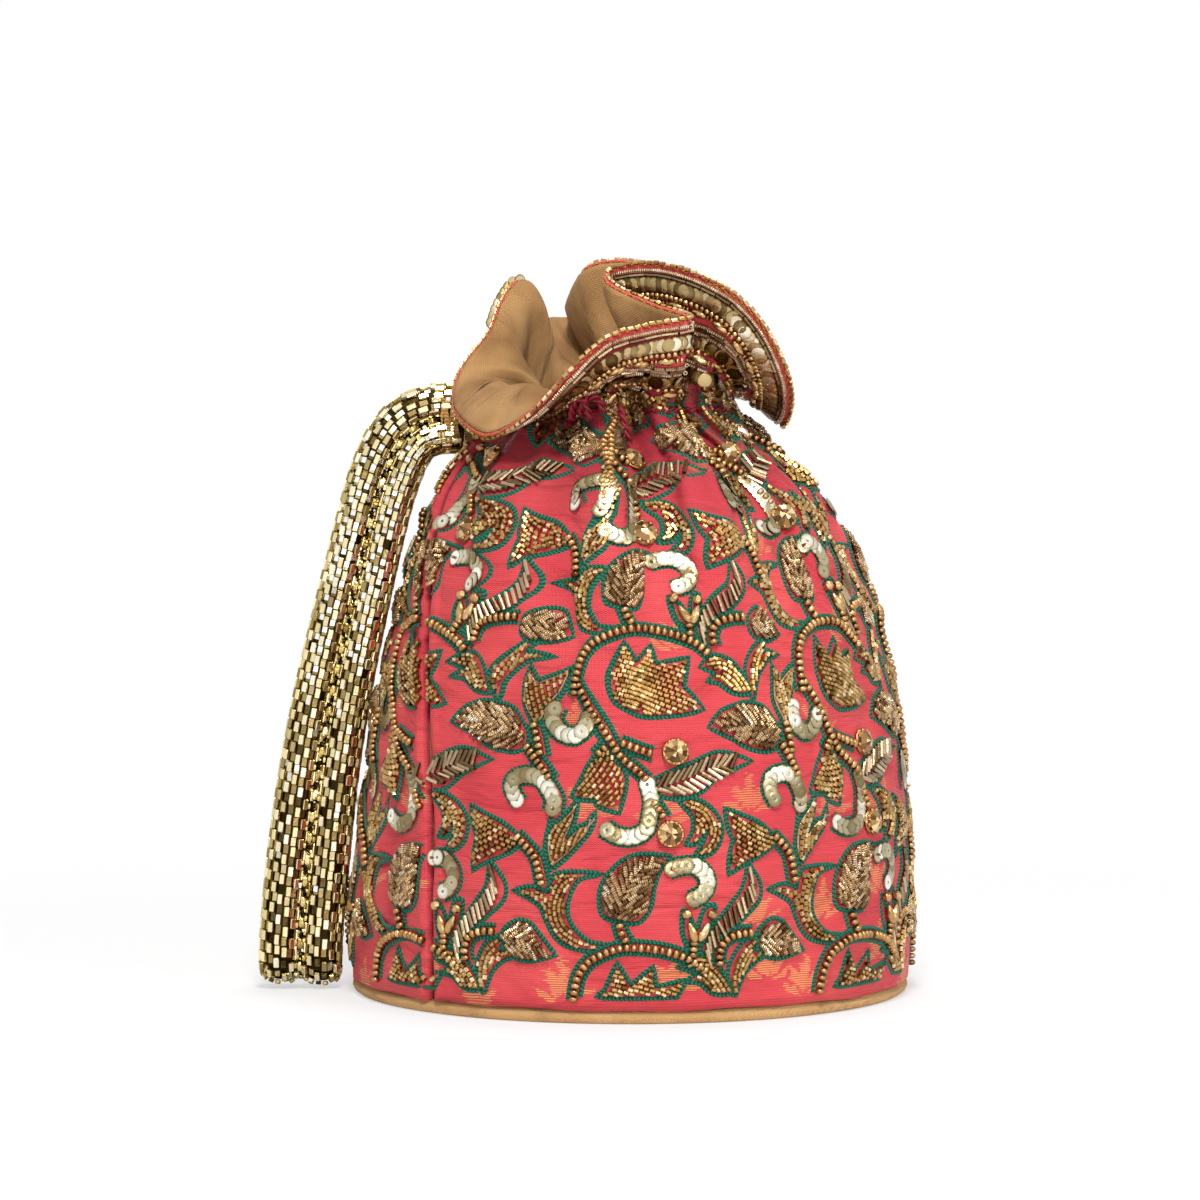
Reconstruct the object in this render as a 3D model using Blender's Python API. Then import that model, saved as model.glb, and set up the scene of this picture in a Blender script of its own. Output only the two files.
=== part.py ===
"""Gathered potli bag: a round-bottomed silk drawstring pouch with a ruffled mouth and a bead-mesh handle.

The bag is a tube of cloth in two panels, sewn to a stiffened round base, cinched at the neck by a cord and
opening into a ruffle above it. Every cloth layer follows one surface, cloth(u, v): u runs round the bag and
v runs up it, both measured along the cloth. Front is -Y, up is +Z, and the origin is under the base.
"""
import math

import bmesh
import bpy
import numpy as np

MM = 0.001

# Driving dimensions
GIRTH = 484 * MM            # width of the cloth tube, measured round the bag
RUFFLE_HEIGHT = 32 * MM     # cloth above the neck
SEAM_U = -59.5 * MM         # where the left side seam lies, measured from the front centre
CLOTH_WALL = 0.8 * MM       # silk with its backing and couched threads
LINING_WALL = 0.6 * MM
LINING_FIT = 0.4 * MM       # clearance between the cloth and its lining, wider for the ruffle's tight folds
FIT = 0.3 * MM              # clearance between pieces that touch
SEAM_GAP = 0.9 * MM         # left between the panels at a side seam, along the cloth
BASE_RADIUS = 76.9 * MM
BASE_SKIN = 0.8 * MM
BASE_HEIGHT = 4.0 * MM
BOARD_THICKNESS = 2.2 * MM
CORD_DIAMETER = 2.2 * MM
CORD_BELOW_NECK = 2.0 * MM
PIPING_DIAMETER = 1.8 * MM
PIPING_LIFT = 0.5 * MM      # space for the stitches between the cloth's edge and the piping
TRIM_WIDTH = 12.5 * MM      # rows of beads couched along the ruffle's edge
TRIM_THICKNESS = 1.0 * MM
TRIM_FROM_EDGE = 0.8 * MM
STRAP_WIDTH = 17.0 * MM
STRAP_THICKNESS = 6.4 * MM
STRAP_WEB = 2.4 * MM        # thickness of the channel between the strap's two rolls
STRAP_LAYERS = 10.0 * MM    # distance between the front run and the back run
TAB_HEIGHT = 7.0 * MM
TAB_BELOW_STRAP = 3.4 * MM  # the tabs hold the strap's end below its middle, clear of the cord
TAB_THICKNESS = 4.0 * MM
TAB_SAMPLES = 4000

# Outer profile of the cloth's middle surface: radius and height
PROFILE = [(76.4, 4.3), (76.4, 25), (74.6, 52), (70.6, 80), (64.6, 106), (57.4, 128), (49.5, 141),
           (40.5, 149.5), (33, 156), (29.5, 162)]
# Sideways lean of the bag's axis: height and shift
LEAN = [(0, 0), (65, 1.6), (105, 1.6), (140, -1.0), (162, -3.6)]
PLEATED_GIRTH = 484 * MM    # width of cloth that the places of the pleats are given for
# Neck pleats: place along the cloth, angle at the neck from the front, depth of the valley that follows
PLEATS = [(-59.5, -85, 7), (-36, -50, 9), (-8, -8, 12), (27, 26, 12), (96, 54, 10), (132, 76, 10),
          (170, 100, 10), (212, 128, 10.5), (252, 156, 11), (292, 186, 11), (334, 216, 11), (378, 246, 9)]
# Ruffle edge, counted round from the left seam: x, y, z and how steeply the cloth rises into it
RIM = [(-48, -12, 162, -0.6), (-44, -24, 156.5, -0.7), (-37.5, -32, 154, -0.6), (-27.5, -42, 159.5, 0.2),
       (-17, -46, 170, 0.9), (-6.5, -46, 179.5, 1), (5, -42, 183, 1), (15.5, -37, 185, 1),
       (6, -27, 188.5, 1), (-5.5, -18, 194, 1), (-5, -13, 198, 1), (6, -18, 199.5, 1), (17, -26, 197, 1),
       (28, -31, 191, 1), (36, -30, 182, 0.9), (42, -22, 170, 0.5), (43.5, -10, 161, -0.3),
       (42, 4, 156, -0.7), (41, 20, 161, -0.3), (33, 33, 174, 0.5), (30, 30, 181, 0.9), (26, 33, 188, 1),
       (20, 37.5, 193, 1), (12, 38, 196, 1), (3, 32, 200, 1), (-11, 27, 199, 1), (-17, 36, 189, 0.9),
       (-16.5, 48, 184.5, 0.6), (-25, 51, 183, 0.5), (-34, 46, 171.8, 0.4), (-37, 36, 168.8, 0.4),
       (-29.5, 27, 178, 0.6), (-26, 19.5, 187, 0.8), (-27.5, 13.5, 193.5, 0.7), (-31.5, 9, 194.5, 0.6),
       (-35.5, 5, 188.5, 0.5), (-38.5, 2, 181, 0.3),
       (-46, -3, 171, 0.0)]
RIM_LEAD = 6 * MM           # cloth between the seam and the first point of the edge
PLEAT_START = 88 * MM       # height where the pleats begin
PLEAT_FULL = 162 * MM
PLEAT_FADE = 1.5
PLEAT_ROUNDNESS = 0.06      # how far the pleats' crests and valleys are rounded out
TWIST_POWER = 2.2           # how late the cloth swings round towards its place at the neck
NECK_RISE = 8.5 * MM        # the cloth leaves the neck upwards for this far
NECK_FLARE = 3 * MM         # and outwards for this far
RIM_REACH = 13 * MM         # and runs into the edge for this far,
RIM_REACH_SHARE = 0.42      # or for this share of the way where the ruffle is short

# Centre line of the hanging strap, from the neck to its lower bend: x and z
STRAP_ROUTE = [(-46, 157.4), (-50, 157.4), (-55, 156.8), (-60.4, 154.3), (-64.5, 149), (-67.3, 142.5),
               (-70, 134), (-73.3, 120.5), (-77.1, 104.5), (-80.8, 88), (-84, 71.5), (-86.7, 54.5),
               (-88.7, 38), (-90.2, 24), (-91, 14), (-91.2, 9.5)]
STRAP_START_Y = 4 * MM      # depth of the front run where it is sewn to the neck
STRAP_HANG_Y = -5 * MM      # depth of the front run where it hangs
STRAP_FALL = 60 * MM        # length over which the strap settles to its hanging depth
STRAP_BEND_STEPS = 6

COLUMNS_PER_PLEAT = 5
COLUMN_SPACING = 7.5 * MM
TIGHT_PLEAT = 3             # after this pleat the edge doubles back, so the columns lie closer
TIGHT_COLUMNS = 12
BODY_ROWS = [0, 0.2, 0.4, 0.56, 0.69, 0.79, 0.87, 0.94, 1]
RUFFLE_ROWS = [0.14, 0.28, 0.43]
ROUND_SEGMENTS = 64


def through(points, steps, closed=False):
    """Points on a smooth curve through the given points."""
    knots = np.array(points, float)
    count = len(knots)
    t = np.linspace(0, 1, steps, endpoint=False)[:, None]
    curve = []
    for i in range(count if closed else count - 1):
        if closed:
            a, b, c, d = (knots[(i + k) % count] for k in (-1, 0, 1, 2))
        else:
            a, b, c, d = (knots[min(max(i + k, 0), count - 1)] for k in (-1, 0, 1, 2))
        curve.append(b + 0.5 * t * (c - a + t * (2 * a - 5 * b + 4 * c - d + t * (3 * b - a - 3 * c + d))))
    return np.vstack(curve + ([knots[:1]] if closed else [knots[-1:]]))


def lengths(curve):
    """Distance along a curve to each of its points."""
    return np.concatenate([[0], np.cumsum(np.linalg.norm(np.diff(curve, axis=0), axis=1))])


profile = through(PROFILE, 24) * MM
profile_length = lengths(profile)
NECK_V = profile_length[-1]
RIM_V = NECK_V + RUFFLE_HEIGHT
NECK_Z = profile[-1, 1]
lean = np.array(LEAN) * MM
rim = through(RIM, 24, closed=True) * np.array([MM, MM, MM, 1])
rim_length = lengths(rim[:, :3])
pleat_u = np.array([p[0] for p in PLEATS] + [PLEATS[0][0]]) * MM
pleat_u[:-1] = pleat_u[0] + (pleat_u[:-1] - pleat_u[0]) * GIRTH / PLEATED_GIRTH
pleat_u[-1] = pleat_u[0] + GIRTH
pleat_angle = np.array([p[1] for p in PLEATS] + [PLEATS[0][1] + 360.0])
pleat_depth = np.array([p[2] for p in PLEATS]) * MM


def radius_at(z):
    """Radius of the body's middle surface at a height."""
    return np.interp(z, profile[:, 1], profile[:, 0])


def body(u, v):
    """The bag below the neck: a leaning surface of revolution with pleats that deepen towards the neck."""
    z = np.interp(v, profile_length, profile[:, 1])
    radius = np.interp(v, profile_length, profile[:, 0])
    around = (u - pleat_u[0]) % GIRTH + pleat_u[0]
    k = np.clip(np.searchsorted(pleat_u, around, side="right") - 1, 0, len(pleat_depth) - 1)
    t = (around - pleat_u[k]) / (pleat_u[k + 1] - pleat_u[k])
    rounded = t + PLEAT_ROUNDNESS * np.sin(4 * np.pi * t)
    at_neck = pleat_angle[k] + (pleat_angle[k + 1] - pleat_angle[k]) * rounded
    at_base = around * 360 / GIRTH
    swing = np.clip(z / NECK_Z, 0, 1) ** TWIST_POWER
    angle = np.radians(at_base + (at_neck - at_base) * swing)
    gather = np.clip((z - PLEAT_START) / (PLEAT_FULL - PLEAT_START), 0, 1) ** PLEAT_FADE
    radius = radius - pleat_depth[k] * gather * (1 - np.cos(2 * np.pi * t)) / 2
    centre = np.interp(z, lean[:, 0], lean[:, 1])
    return np.stack([centre + radius * np.sin(angle), -radius * np.cos(angle), z], -1)


def rim_point(u):
    """Place on the ruffle's edge, and how steeply the cloth rises into it."""
    share = ((u - SEAM_U + RIM_LEAD) / GIRTH) % 1.0
    return np.stack([np.interp(share * rim_length[-1], rim_length, rim[:, k]) for k in range(4)], -1)


def from_axis(places):
    """Unit direction level with the floor, from the neck's axis towards each place."""
    away = (places[..., :3] - np.array([lean[-1, 1], 0, 0])) * np.array([1, 1, 0])
    return away / np.linalg.norm(away, axis=-1, keepdims=True)


def cloth(u, v):
    """Middle surface of the outer cloth at u, v: the body, and above the neck a sweep out to the edge."""
    u, v = np.broadcast_arrays(np.asarray(u, float), np.asarray(v, float))
    below = body(u, np.minimum(v, NECK_V))
    neck = body(u, np.full_like(u, NECK_V))
    edge = rim_point(u)
    rise = edge[..., 3:]
    edge = edge[..., :3]
    upward = np.array([0, 0, 1.0])
    start = neck + upward * NECK_RISE + from_axis(neck) * NECK_FLARE
    arrival = from_axis(edge) * np.sqrt(np.maximum(1 - rise ** 2, 0)) + upward * rise
    span = np.linalg.norm(edge - neck, axis=-1, keepdims=True)
    end = edge - arrival * np.minimum(RIM_REACH, RIM_REACH_SHARE * span)
    t = np.clip((v - NECK_V) / RUFFLE_HEIGHT, 0, 1)[..., None]
    above = (1 - t) ** 3 * neck + 3 * (1 - t) ** 2 * t * start + 3 * (1 - t) * t ** 2 * end + t ** 3 * edge
    return np.where((v > NECK_V)[..., None], above, below)


def columns():
    """Places round the cloth for the mesh columns: some in each pleat, both sides of each side seam."""
    places = []
    for k, start in enumerate(pleat_u[:-1]):
        width = pleat_u[k + 1] - start
        count = max(COLUMNS_PER_PLEAT, round(width / COLUMN_SPACING))
        if k == TIGHT_PLEAT:
            count = TIGHT_COLUMNS
        places += [start + width * i / count for i in range(count)]
    for seam in (SEAM_U, SEAM_U + GIRTH / 2, SEAM_U + GIRTH):
        places = [u for u in places if abs(u - seam) > COLUMN_SPACING / 4]
        places += [seam - SEAM_GAP / 2, seam + SEAM_GAP / 2]
    return np.array(sorted(u for u in places if SEAM_U < u < SEAM_U + GIRTH))


def rows():
    """Places up the cloth for the mesh rows; the last ones frame the band of beads."""
    trim_top = RIM_V - TRIM_FROM_EDGE
    ruffle = [NECK_V + RUFFLE_HEIGHT * share for share in RUFFLE_ROWS]
    band = [trim_top - TRIM_WIDTH, trim_top - TRIM_WIDTH / 2, trim_top]
    return np.array([NECK_V * share for share in BODY_ROWS] + ruffle + band + [RIM_V])


def make_grid():
    """The cloth's middle surface as rows and columns of points, and its unit normals out of the bag."""
    u, v = np.meshgrid(columns(), rows())
    points = cloth(u, v)
    round_way = np.roll(points, -1, 1) - np.roll(points, 1, 1)
    up_way = np.gradient(points, axis=0)
    normal = np.cross(round_way, up_way)
    return points, normal / np.linalg.norm(normal, axis=-1, keepdims=True)


def material(name, colour, roughness, metallic=0.0):
    made = bpy.data.materials.new(name)
    made.use_nodes = True
    shader = made.node_tree.nodes["Principled BSDF"]
    shader.inputs["Base Color"].default_value = (*colour, 1)
    shader.inputs["Roughness"].default_value = roughness
    shader.inputs["Metallic"].default_value = metallic
    made.diffuse_color = (*colour, 1)
    return made


def add_object(name, bm, finish):
    mesh = bpy.data.meshes.new(name)
    bm.to_mesh(mesh)
    bm.free()
    mesh.shade_smooth()
    mesh.set_sharp_from_angle(angle=math.radians(50))
    mesh.materials.append(finish)
    made = bpy.data.objects.new(name, mesh)
    bpy.context.scene.collection.objects.link(made)
    return made


def layer(name, finish, grid, low, high, row_span=slice(None), column_span=slice(None), closed=False):
    """A cloth layer between two distances from the middle surface: two skins joined along their borders."""
    points, normals = (part[row_span, column_span] for part in grid)
    height, width = points.shape[:2]
    bm = bmesh.new()
    inner, outer = ([[bm.verts.new(place) for place in row] for row in points + normals * offset]
                    for offset in (low, high))
    steps = [(k, (k + 1) % width) for k in range(width if closed else width - 1)]
    for i in range(height - 1):
        for k, m in steps:
            for skin in (inner, outer):
                bm.faces.new((skin[i][k], skin[i][m], skin[i + 1][m]))
                bm.faces.new((skin[i][k], skin[i + 1][m], skin[i + 1][k]))
        for k in () if closed else (0, width - 1):
            bm.faces.new((inner[i][k], inner[i + 1][k], outer[i + 1][k], outer[i][k]))
    for i in (0, height - 1):
        for k, m in steps:
            bm.faces.new((inner[i][k], inner[i][m], outer[i][m], outer[i][k]))
    bmesh.ops.recalc_face_normals(bm, faces=bm.faces)
    return add_object(name, bm, finish)


def turned(name, finish, outline):
    """A closed outline of radius and height, spun about the upright axis."""
    bm = bmesh.new()
    verts = [bm.verts.new((radius, 0, height)) for radius, height in outline]
    edges = [bm.edges.new(pair) for pair in zip(verts, verts[1:])]
    bmesh.ops.spin(bm, geom=verts + edges, axis=(0, 0, 1), cent=(0, 0, 0), angle=math.tau,
                   steps=ROUND_SEGMENTS, use_merge=True)
    bmesh.ops.remove_doubles(bm, verts=bm.verts, dist=0.001 * MM)
    bmesh.ops.recalc_face_normals(bm, faces=bm.faces)
    return add_object(name, bm, finish)


def loft(name, finish, rings, closed=False):
    """A skin bridged from ring to ring, capped at both ends unless it closes on itself."""
    bm = bmesh.new()
    loops = [[bm.verts.new(place) for place in ring] for ring in rings]
    pairs = list(zip(loops, loops[1:] + loops[:1]))
    for first, second in pairs if closed else pairs[:-1]:
        for i in range(len(first)):
            k = (i + 1) % len(first)
            bm.faces.new((first[i], first[k], second[k], second[i]))
    if not closed:
        bm.faces.new(loops[0][::-1])
        bm.faces.new(loops[-1])
    bmesh.ops.recalc_face_normals(bm, faces=bm.faces)
    return add_object(name, bm, finish)


def tube_rings(path, radius, sides, upright):
    """Rings of a round cord along a closed path; upright gives each ring's first direction."""
    along = np.roll(path, -1, 0) - np.roll(path, 1, 0)
    along /= np.linalg.norm(along, axis=1, keepdims=True)
    first = upright - along * np.sum(upright * along, axis=1, keepdims=True)
    first /= np.linalg.norm(first, axis=1, keepdims=True)
    second = np.cross(along, first)
    turns = np.linspace(0, math.tau, sides, endpoint=False)
    return [[p + radius * (math.cos(a) * f + math.sin(a) * s) for a in turns]
            for p, f, s in zip(path, first, second)]


def panels(silk, grid):
    """Front and back panel, meeting at two side seams."""
    middle = int(np.sum(columns() < SEAM_U + GIRTH / 2))
    for name, span in (("front_panel", slice(0, middle)), ("back_panel", slice(middle, None))):
        layer(name, silk, grid, -CLOTH_WALL / 2, CLOTH_WALL / 2, column_span=span)


def lining(cotton, grid):
    """The inner bag: a sewn tube that follows the panels, and its round bottom."""
    outside = -CLOTH_WALL / 2 - LINING_FIT
    layer("lining", cotton, grid, outside - LINING_WALL, outside, closed=True)
    top = profile[0, 1] - FIT
    edge = profile[0, 0] - CLOTH_WALL / 2 - FIT
    bottom = top - LINING_WALL
    turned("lining_base", cotton, [(0, bottom), (edge, bottom), (edge, top), (0, top)])


def base(cotton, card):
    """A cloth-covered stiff board: the cover is a shallow pan and the board lies in it."""
    inner = BASE_RADIUS - BASE_SKIN
    turned("base_cover", cotton, [(0, 0), (BASE_RADIUS - 0.6 * MM, 0), (BASE_RADIUS, 0.6 * MM),
                                  (BASE_RADIUS, BASE_HEIGHT), (inner, BASE_HEIGHT), (inner, BASE_SKIN),
                                  (0, BASE_SKIN)])
    low = BASE_SKIN + FIT
    high = low + BOARD_THICKNESS
    turned("base_board", card, [(0, low), (inner - FIT, low), (inner - FIT, high), (0, high)])


def drawstring(satin):
    """The cord that cinches the neck, drawn tight round the crests of the pleats."""
    z = NECK_Z - CORD_BELOW_NECK
    reach = radius_at(z - CORD_DIAMETER / 2) + CLOTH_WALL / 2 + FIT + CORD_DIAMETER / 2
    centre = np.interp(z, lean[:, 0], lean[:, 1])
    turns = np.linspace(0, math.tau, ROUND_SEGMENTS, endpoint=False)
    path = np.stack([centre + reach * np.sin(turns), -reach * np.cos(turns), np.full_like(turns, z)], -1)
    upright = np.tile([0, 0, 1.0], (ROUND_SEGMENTS, 1))
    loft("drawstring", satin, tube_rings(path, CORD_DIAMETER / 2, 6, upright), closed=True)


def ruffle_edge(silk, beads, grid):
    """Piping along the ruffle's edge, and the band of couched beads below it on the outer side."""
    points, normals = grid
    rise = points[-1] - points[-2]
    rise /= np.linalg.norm(rise, axis=1, keepdims=True)
    inset = (FIT + LINING_WALL) / 2
    path = points[-1] + rise * (PIPING_LIFT + PIPING_DIAMETER / 2) - normals[-1] * inset
    loft("rim_piping", silk, tube_rings(path, PIPING_DIAMETER / 2, 6, rise), closed=True)
    bottom = CLOTH_WALL / 2 + FIT
    layer("rim_trim", beads, grid, bottom, bottom + TRIM_THICKNESS, row_span=slice(-4, -1), closed=True)


def strap_section():
    """Outline of the strap: two rolls side by side, joined by a thinner channel. Width and thickness."""
    half = STRAP_THICKNESS / 2
    centre = STRAP_WIDTH / 2 - half * 1.25
    outline = []
    for side in (1, -1):
        for step in range(7):
            angle = math.radians(-135 + 45 * step) if side == 1 else math.radians(45 + 45 * step)
            across = side * centre + half * 1.25 * math.cos(angle)
            outline.append((across, half * math.sin(angle)))
    waist = STRAP_WEB / 2
    web_edge = centre - half * 0.8
    return [(a, math.copysign(max(abs(t), waist), t) if abs(a) < web_edge else t) for a, t in outline]


def strap_path():
    """Stations of the strap: place, width direction and thickness direction, down the front and up the back."""
    curve = through(STRAP_ROUTE, 2) * MM
    travelled = lengths(curve)
    along = np.gradient(curve, axis=0)
    along /= np.linalg.norm(along, axis=1, keepdims=True)
    settle = np.clip(travelled / STRAP_FALL, 0, 1)
    settle = settle * settle * (3 - 2 * settle)
    depth = STRAP_START_Y + (STRAP_HANG_Y - STRAP_START_Y) * settle
    front, back = [], []
    for (x, z), (dx, dz), y in zip(curve, along, depth):
        width_way = np.array([dz, 0, -dx])
        front.append((np.array([x, y, z]), width_way, np.array([0, -1.0, 0])))
        back.append((np.array([x, y + STRAP_LAYERS, z]), width_way, np.array([0, 1.0, 0])))
    bend = []
    radius = STRAP_LAYERS / 2
    middle = (front[-1][0] + back[-1][0]) / 2
    for step in range(1, STRAP_BEND_STEPS):
        angle = math.pi * step / STRAP_BEND_STEPS
        out = np.array([0, -math.cos(angle), -math.sin(angle)])
        bend.append((middle + radius * out, front[-1][1], out))
    return front + bend + back[::-1]


def strap(mesh_finish, thread):
    """The hanging handle: one strap of bead mesh, doubled, with both ends sewn to the neck by thread tabs."""
    outline = strap_section()
    rings = [[place + across * a + through_way * t for a, t in outline]
             for place, across, through_way in strap_path()]
    loft("handle", mesh_finish, rings)
    x, z = STRAP_ROUTE[0][0] * MM, STRAP_ROUTE[0][1] * MM - TAB_BELOW_STRAP
    for name, y in (("handle_tab_front", STRAP_START_Y), ("handle_tab_rear", STRAP_START_Y + STRAP_LAYERS)):
        rings = []
        for height in (z - TAB_HEIGHT / 2, z, z + TAB_HEIGHT / 2):
            front, rear = y - TAB_THICKNESS / 2, y + TAB_THICKNESS / 2
            root = tab_root(y, height)
            rings.append([(x + FIT, front, height), (x + FIT, rear, height), (root, rear, height),
                          (root, front, height)])
        loft(name, thread, rings)


def tab_root(y, z):
    """How far left the bag's wall reaches at a depth and height, with clearance, where a tab is sewn on."""
    turns = SEAM_U + GIRTH * np.linspace(0, 1, TAB_SAMPLES)
    wall = cloth(turns, np.interp(z, profile[:, 1], profile_length))
    near = np.abs(wall[:, 1] - y) < TAB_THICKNESS * 0.65
    return float(wall[near, 0].min()) - CLOTH_WALL - FIT


def main():
    for leftover in list(bpy.data.objects):
        bpy.data.objects.remove(leftover)
    silk = material("coral_silk", (0.74, 0.07, 0.10), 0.55)
    cotton = material("tan_cotton", (0.50, 0.30, 0.12), 0.85)
    card = material("grey_card", (0.35, 0.33, 0.30), 0.9)
    satin = material("crimson_satin", (0.33, 0.01, 0.05), 0.4)
    beads = material("antique_gold_beads", (0.42, 0.26, 0.09), 0.35, 0.9)
    gold_mesh = material("gold_bead_mesh", (0.62, 0.44, 0.13), 0.25, 1.0)
    thread = material("gold_thread", (0.55, 0.32, 0.08), 0.6)
    grid = make_grid()
    panels(silk, grid)
    lining(cotton, grid)
    base(cotton, card)
    drawstring(satin)
    ruffle_edge(silk, beads, grid)
    strap(gold_mesh, thread)


main()
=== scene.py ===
"""Potli bag: coral brocade silk with couched beads, sequins, wire and stones, and a gold mesh handle.

Every cloth layer and every bead takes its place from cloth(u, v), the surface that the CAD part was made
on: u runs round the bag from the front centre and v runs up it, both along the cloth. Front is -Y and up
is +Z. The embroidery is written in millimetres of u and v, as a pattern that repeats seven times round.
"""
import math

import bmesh
import bpy
import numpy as np
from mathutils import Matrix, Vector
from mathutils.kdtree import KDTree


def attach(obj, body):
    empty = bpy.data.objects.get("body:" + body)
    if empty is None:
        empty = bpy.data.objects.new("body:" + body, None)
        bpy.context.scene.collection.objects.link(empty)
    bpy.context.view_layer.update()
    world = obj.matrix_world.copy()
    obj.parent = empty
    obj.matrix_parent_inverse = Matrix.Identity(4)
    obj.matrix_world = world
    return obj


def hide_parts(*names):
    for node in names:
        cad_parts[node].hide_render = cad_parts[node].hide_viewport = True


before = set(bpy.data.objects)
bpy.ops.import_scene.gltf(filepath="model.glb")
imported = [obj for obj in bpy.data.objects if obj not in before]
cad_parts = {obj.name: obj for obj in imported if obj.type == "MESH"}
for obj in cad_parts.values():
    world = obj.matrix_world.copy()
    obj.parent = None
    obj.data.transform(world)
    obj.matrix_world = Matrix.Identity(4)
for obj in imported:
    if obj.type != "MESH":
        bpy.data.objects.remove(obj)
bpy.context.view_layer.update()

MM = 0.001
shuffle = np.random.default_rng(7)

# The bag's shape, as in its CAD part
GIRTH = 484 * MM
RUFFLE_HEIGHT = 32 * MM
SEAM_U = -59.5 * MM
CLOTH_WALL = 0.8 * MM
LINING_WALL = 0.6 * MM
LINING_FIT = 0.4 * MM
BASE_RADIUS = 76.9 * MM
BASE_HEIGHT = 4.0 * MM
BOTTOM_RADIUS = 75.2 * MM    # of the lining's round bottom
SILK_FACE = 0.35 * MM       # from the cloth's middle surface to the silk's face
CORD_BELOW_NECK = 2.0 * MM
PROFILE = [(76.4, 4.3), (76.4, 25), (74.6, 52), (70.6, 80), (64.6, 106), (57.4, 128), (49.5, 141),
           (40.5, 149.5), (33, 156), (29.5, 162)]
LEAN = [(0, 0), (65, 1.6), (105, 1.6), (140, -1.0), (162, -3.6)]
PLEATS = [(-59.5, -85, 7), (-36, -50, 9), (-8, -8, 12), (27, 26, 12), (96, 54, 10), (132, 76, 10),
          (170, 100, 10), (212, 128, 10.5), (252, 156, 11), (292, 186, 11), (334, 216, 11), (378, 246, 9)]
RIM = [(-48, -12, 162, -0.6), (-44, -24, 156.5, -0.7), (-37.5, -32, 154, -0.6), (-27.5, -42, 159.5, 0.2),
       (-17, -46, 170, 0.9), (-6.5, -46, 179.5, 1), (5, -42, 183, 1), (15.5, -37, 185, 1),
       (6, -27, 188.5, 1), (-5.5, -18, 194, 1), (-5, -13, 198, 1), (6, -18, 199.5, 1), (17, -26, 197, 1),
       (28, -31, 191, 1), (36, -30, 182, 0.9), (42, -22, 170, 0.5), (43.5, -10, 161, -0.3),
       (42, 4, 156, -0.7), (41, 20, 161, -0.3), (33, 33, 174, 0.5), (30, 30, 181, 0.9), (26, 33, 188, 1),
       (20, 37.5, 193, 1), (12, 38, 196, 1), (3, 32, 200, 1), (-11, 27, 199, 1), (-17, 36, 189, 0.9),
       (-16.5, 48, 184.5, 0.6), (-25, 51, 183, 0.5), (-34, 46, 171.8, 0.4), (-37, 36, 168.8, 0.4),
       (-29.5, 27, 178, 0.6), (-26, 19.5, 187, 0.8), (-27.5, 13.5, 193.5, 0.7), (-31.5, 9, 194.5, 0.6),
       (-35.5, 5, 188.5, 0.5), (-38.5, 2, 181, 0.3),
       (-46, -3, 171, 0.0)]
RIM_LEAD = 6 * MM
PLEAT_START = 88 * MM
PLEAT_FULL = 162 * MM
PLEAT_FADE = 1.5
PLEAT_ROUNDNESS = 0.06
TWIST_POWER = 2.2
NECK_RISE = 8.5 * MM
NECK_FLARE = 3 * MM
RIM_REACH = 13 * MM
RIM_REACH_SHARE = 0.42
STRAP_WIDTH = 17.0 * MM
STRAP_THICKNESS = 6.4 * MM
STRAP_LAYERS = 10.0 * MM
STRAP_ROUTE = [(-46, 157.4), (-50, 157.4), (-55, 156.8), (-60.4, 154.3), (-64.5, 149), (-67.3, 142.5),
               (-70, 134), (-73.3, 120.5), (-77.1, 104.5), (-80.8, 88), (-84, 71.5), (-86.7, 54.5),
               (-88.7, 38), (-90.2, 24), (-91, 14), (-91.2, 9.5)]
STRAP_START_Y = 4 * MM
STRAP_HANG_Y = -5 * MM
STRAP_FALL = 60 * MM
STRAP_BEND_STEPS = 12

# What this script adds to the CAD part's shape, in millimetres where a length has no unit
GATHERS = 44                # small folds round the neck
ROLL = 4.5 * MM             # half width of each of the strap's two rolls
ROLL_CENTRE = 4.75 * MM     # from the strap's middle to a roll's
SLACK = 0.17                # how much wider the strap's lower half hangs
MESH_PITCH = 5.5 * MM       # from plate to plate down a column of the mesh
MESH_COLUMNS = 16           # columns of plates round each roll
STEM_PITCH = 1.8
SEED_PITCH = 1.54
SEED_GAP = 1.23             # from one row of seed beads to the next
BUGLE_PITCH = 1.75
CURL_PITCH = 1.9
NECK_LEAVES = 34


def through(points, steps, closed=False):
    """Points on a smooth curve through the given points."""
    knots = np.array(points, float)
    count = len(knots)
    t = np.linspace(0, 1, steps, endpoint=False)[:, None]
    curve = []
    for i in range(count if closed else count - 1):
        if closed:
            a, b, c, d = (knots[(i + k) % count] for k in (-1, 0, 1, 2))
        else:
            a, b, c, d = (knots[min(max(i + k, 0), count - 1)] for k in (-1, 0, 1, 2))
        curve.append(b + 0.5 * t * (c - a + t * (2 * a - 5 * b + 4 * c - d + t * (3 * b - a - 3 * c + d))))
    return np.vstack(curve + ([knots[:1]] if closed else [knots[-1:]]))


def lengths(curve):
    """Distance along a curve to each of its points."""
    return np.concatenate([[0], np.cumsum(np.linalg.norm(np.diff(curve, axis=0), axis=1))])


def read_off(stops, travelled, rows):
    """Rows of values along a curve, at given distances along it."""
    return np.stack([np.interp(stops, travelled, rows[:, k]) for k in range(rows.shape[1])], -1)


def passing(stops, travelled, rows, step=0.4):
    """Points at given distances along a curve, and its directions there."""
    ahead, behind = (read_off(stops + way, travelled, rows) for way in (step, -step))
    return read_off(stops, travelled, rows), ahead - behind


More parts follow.
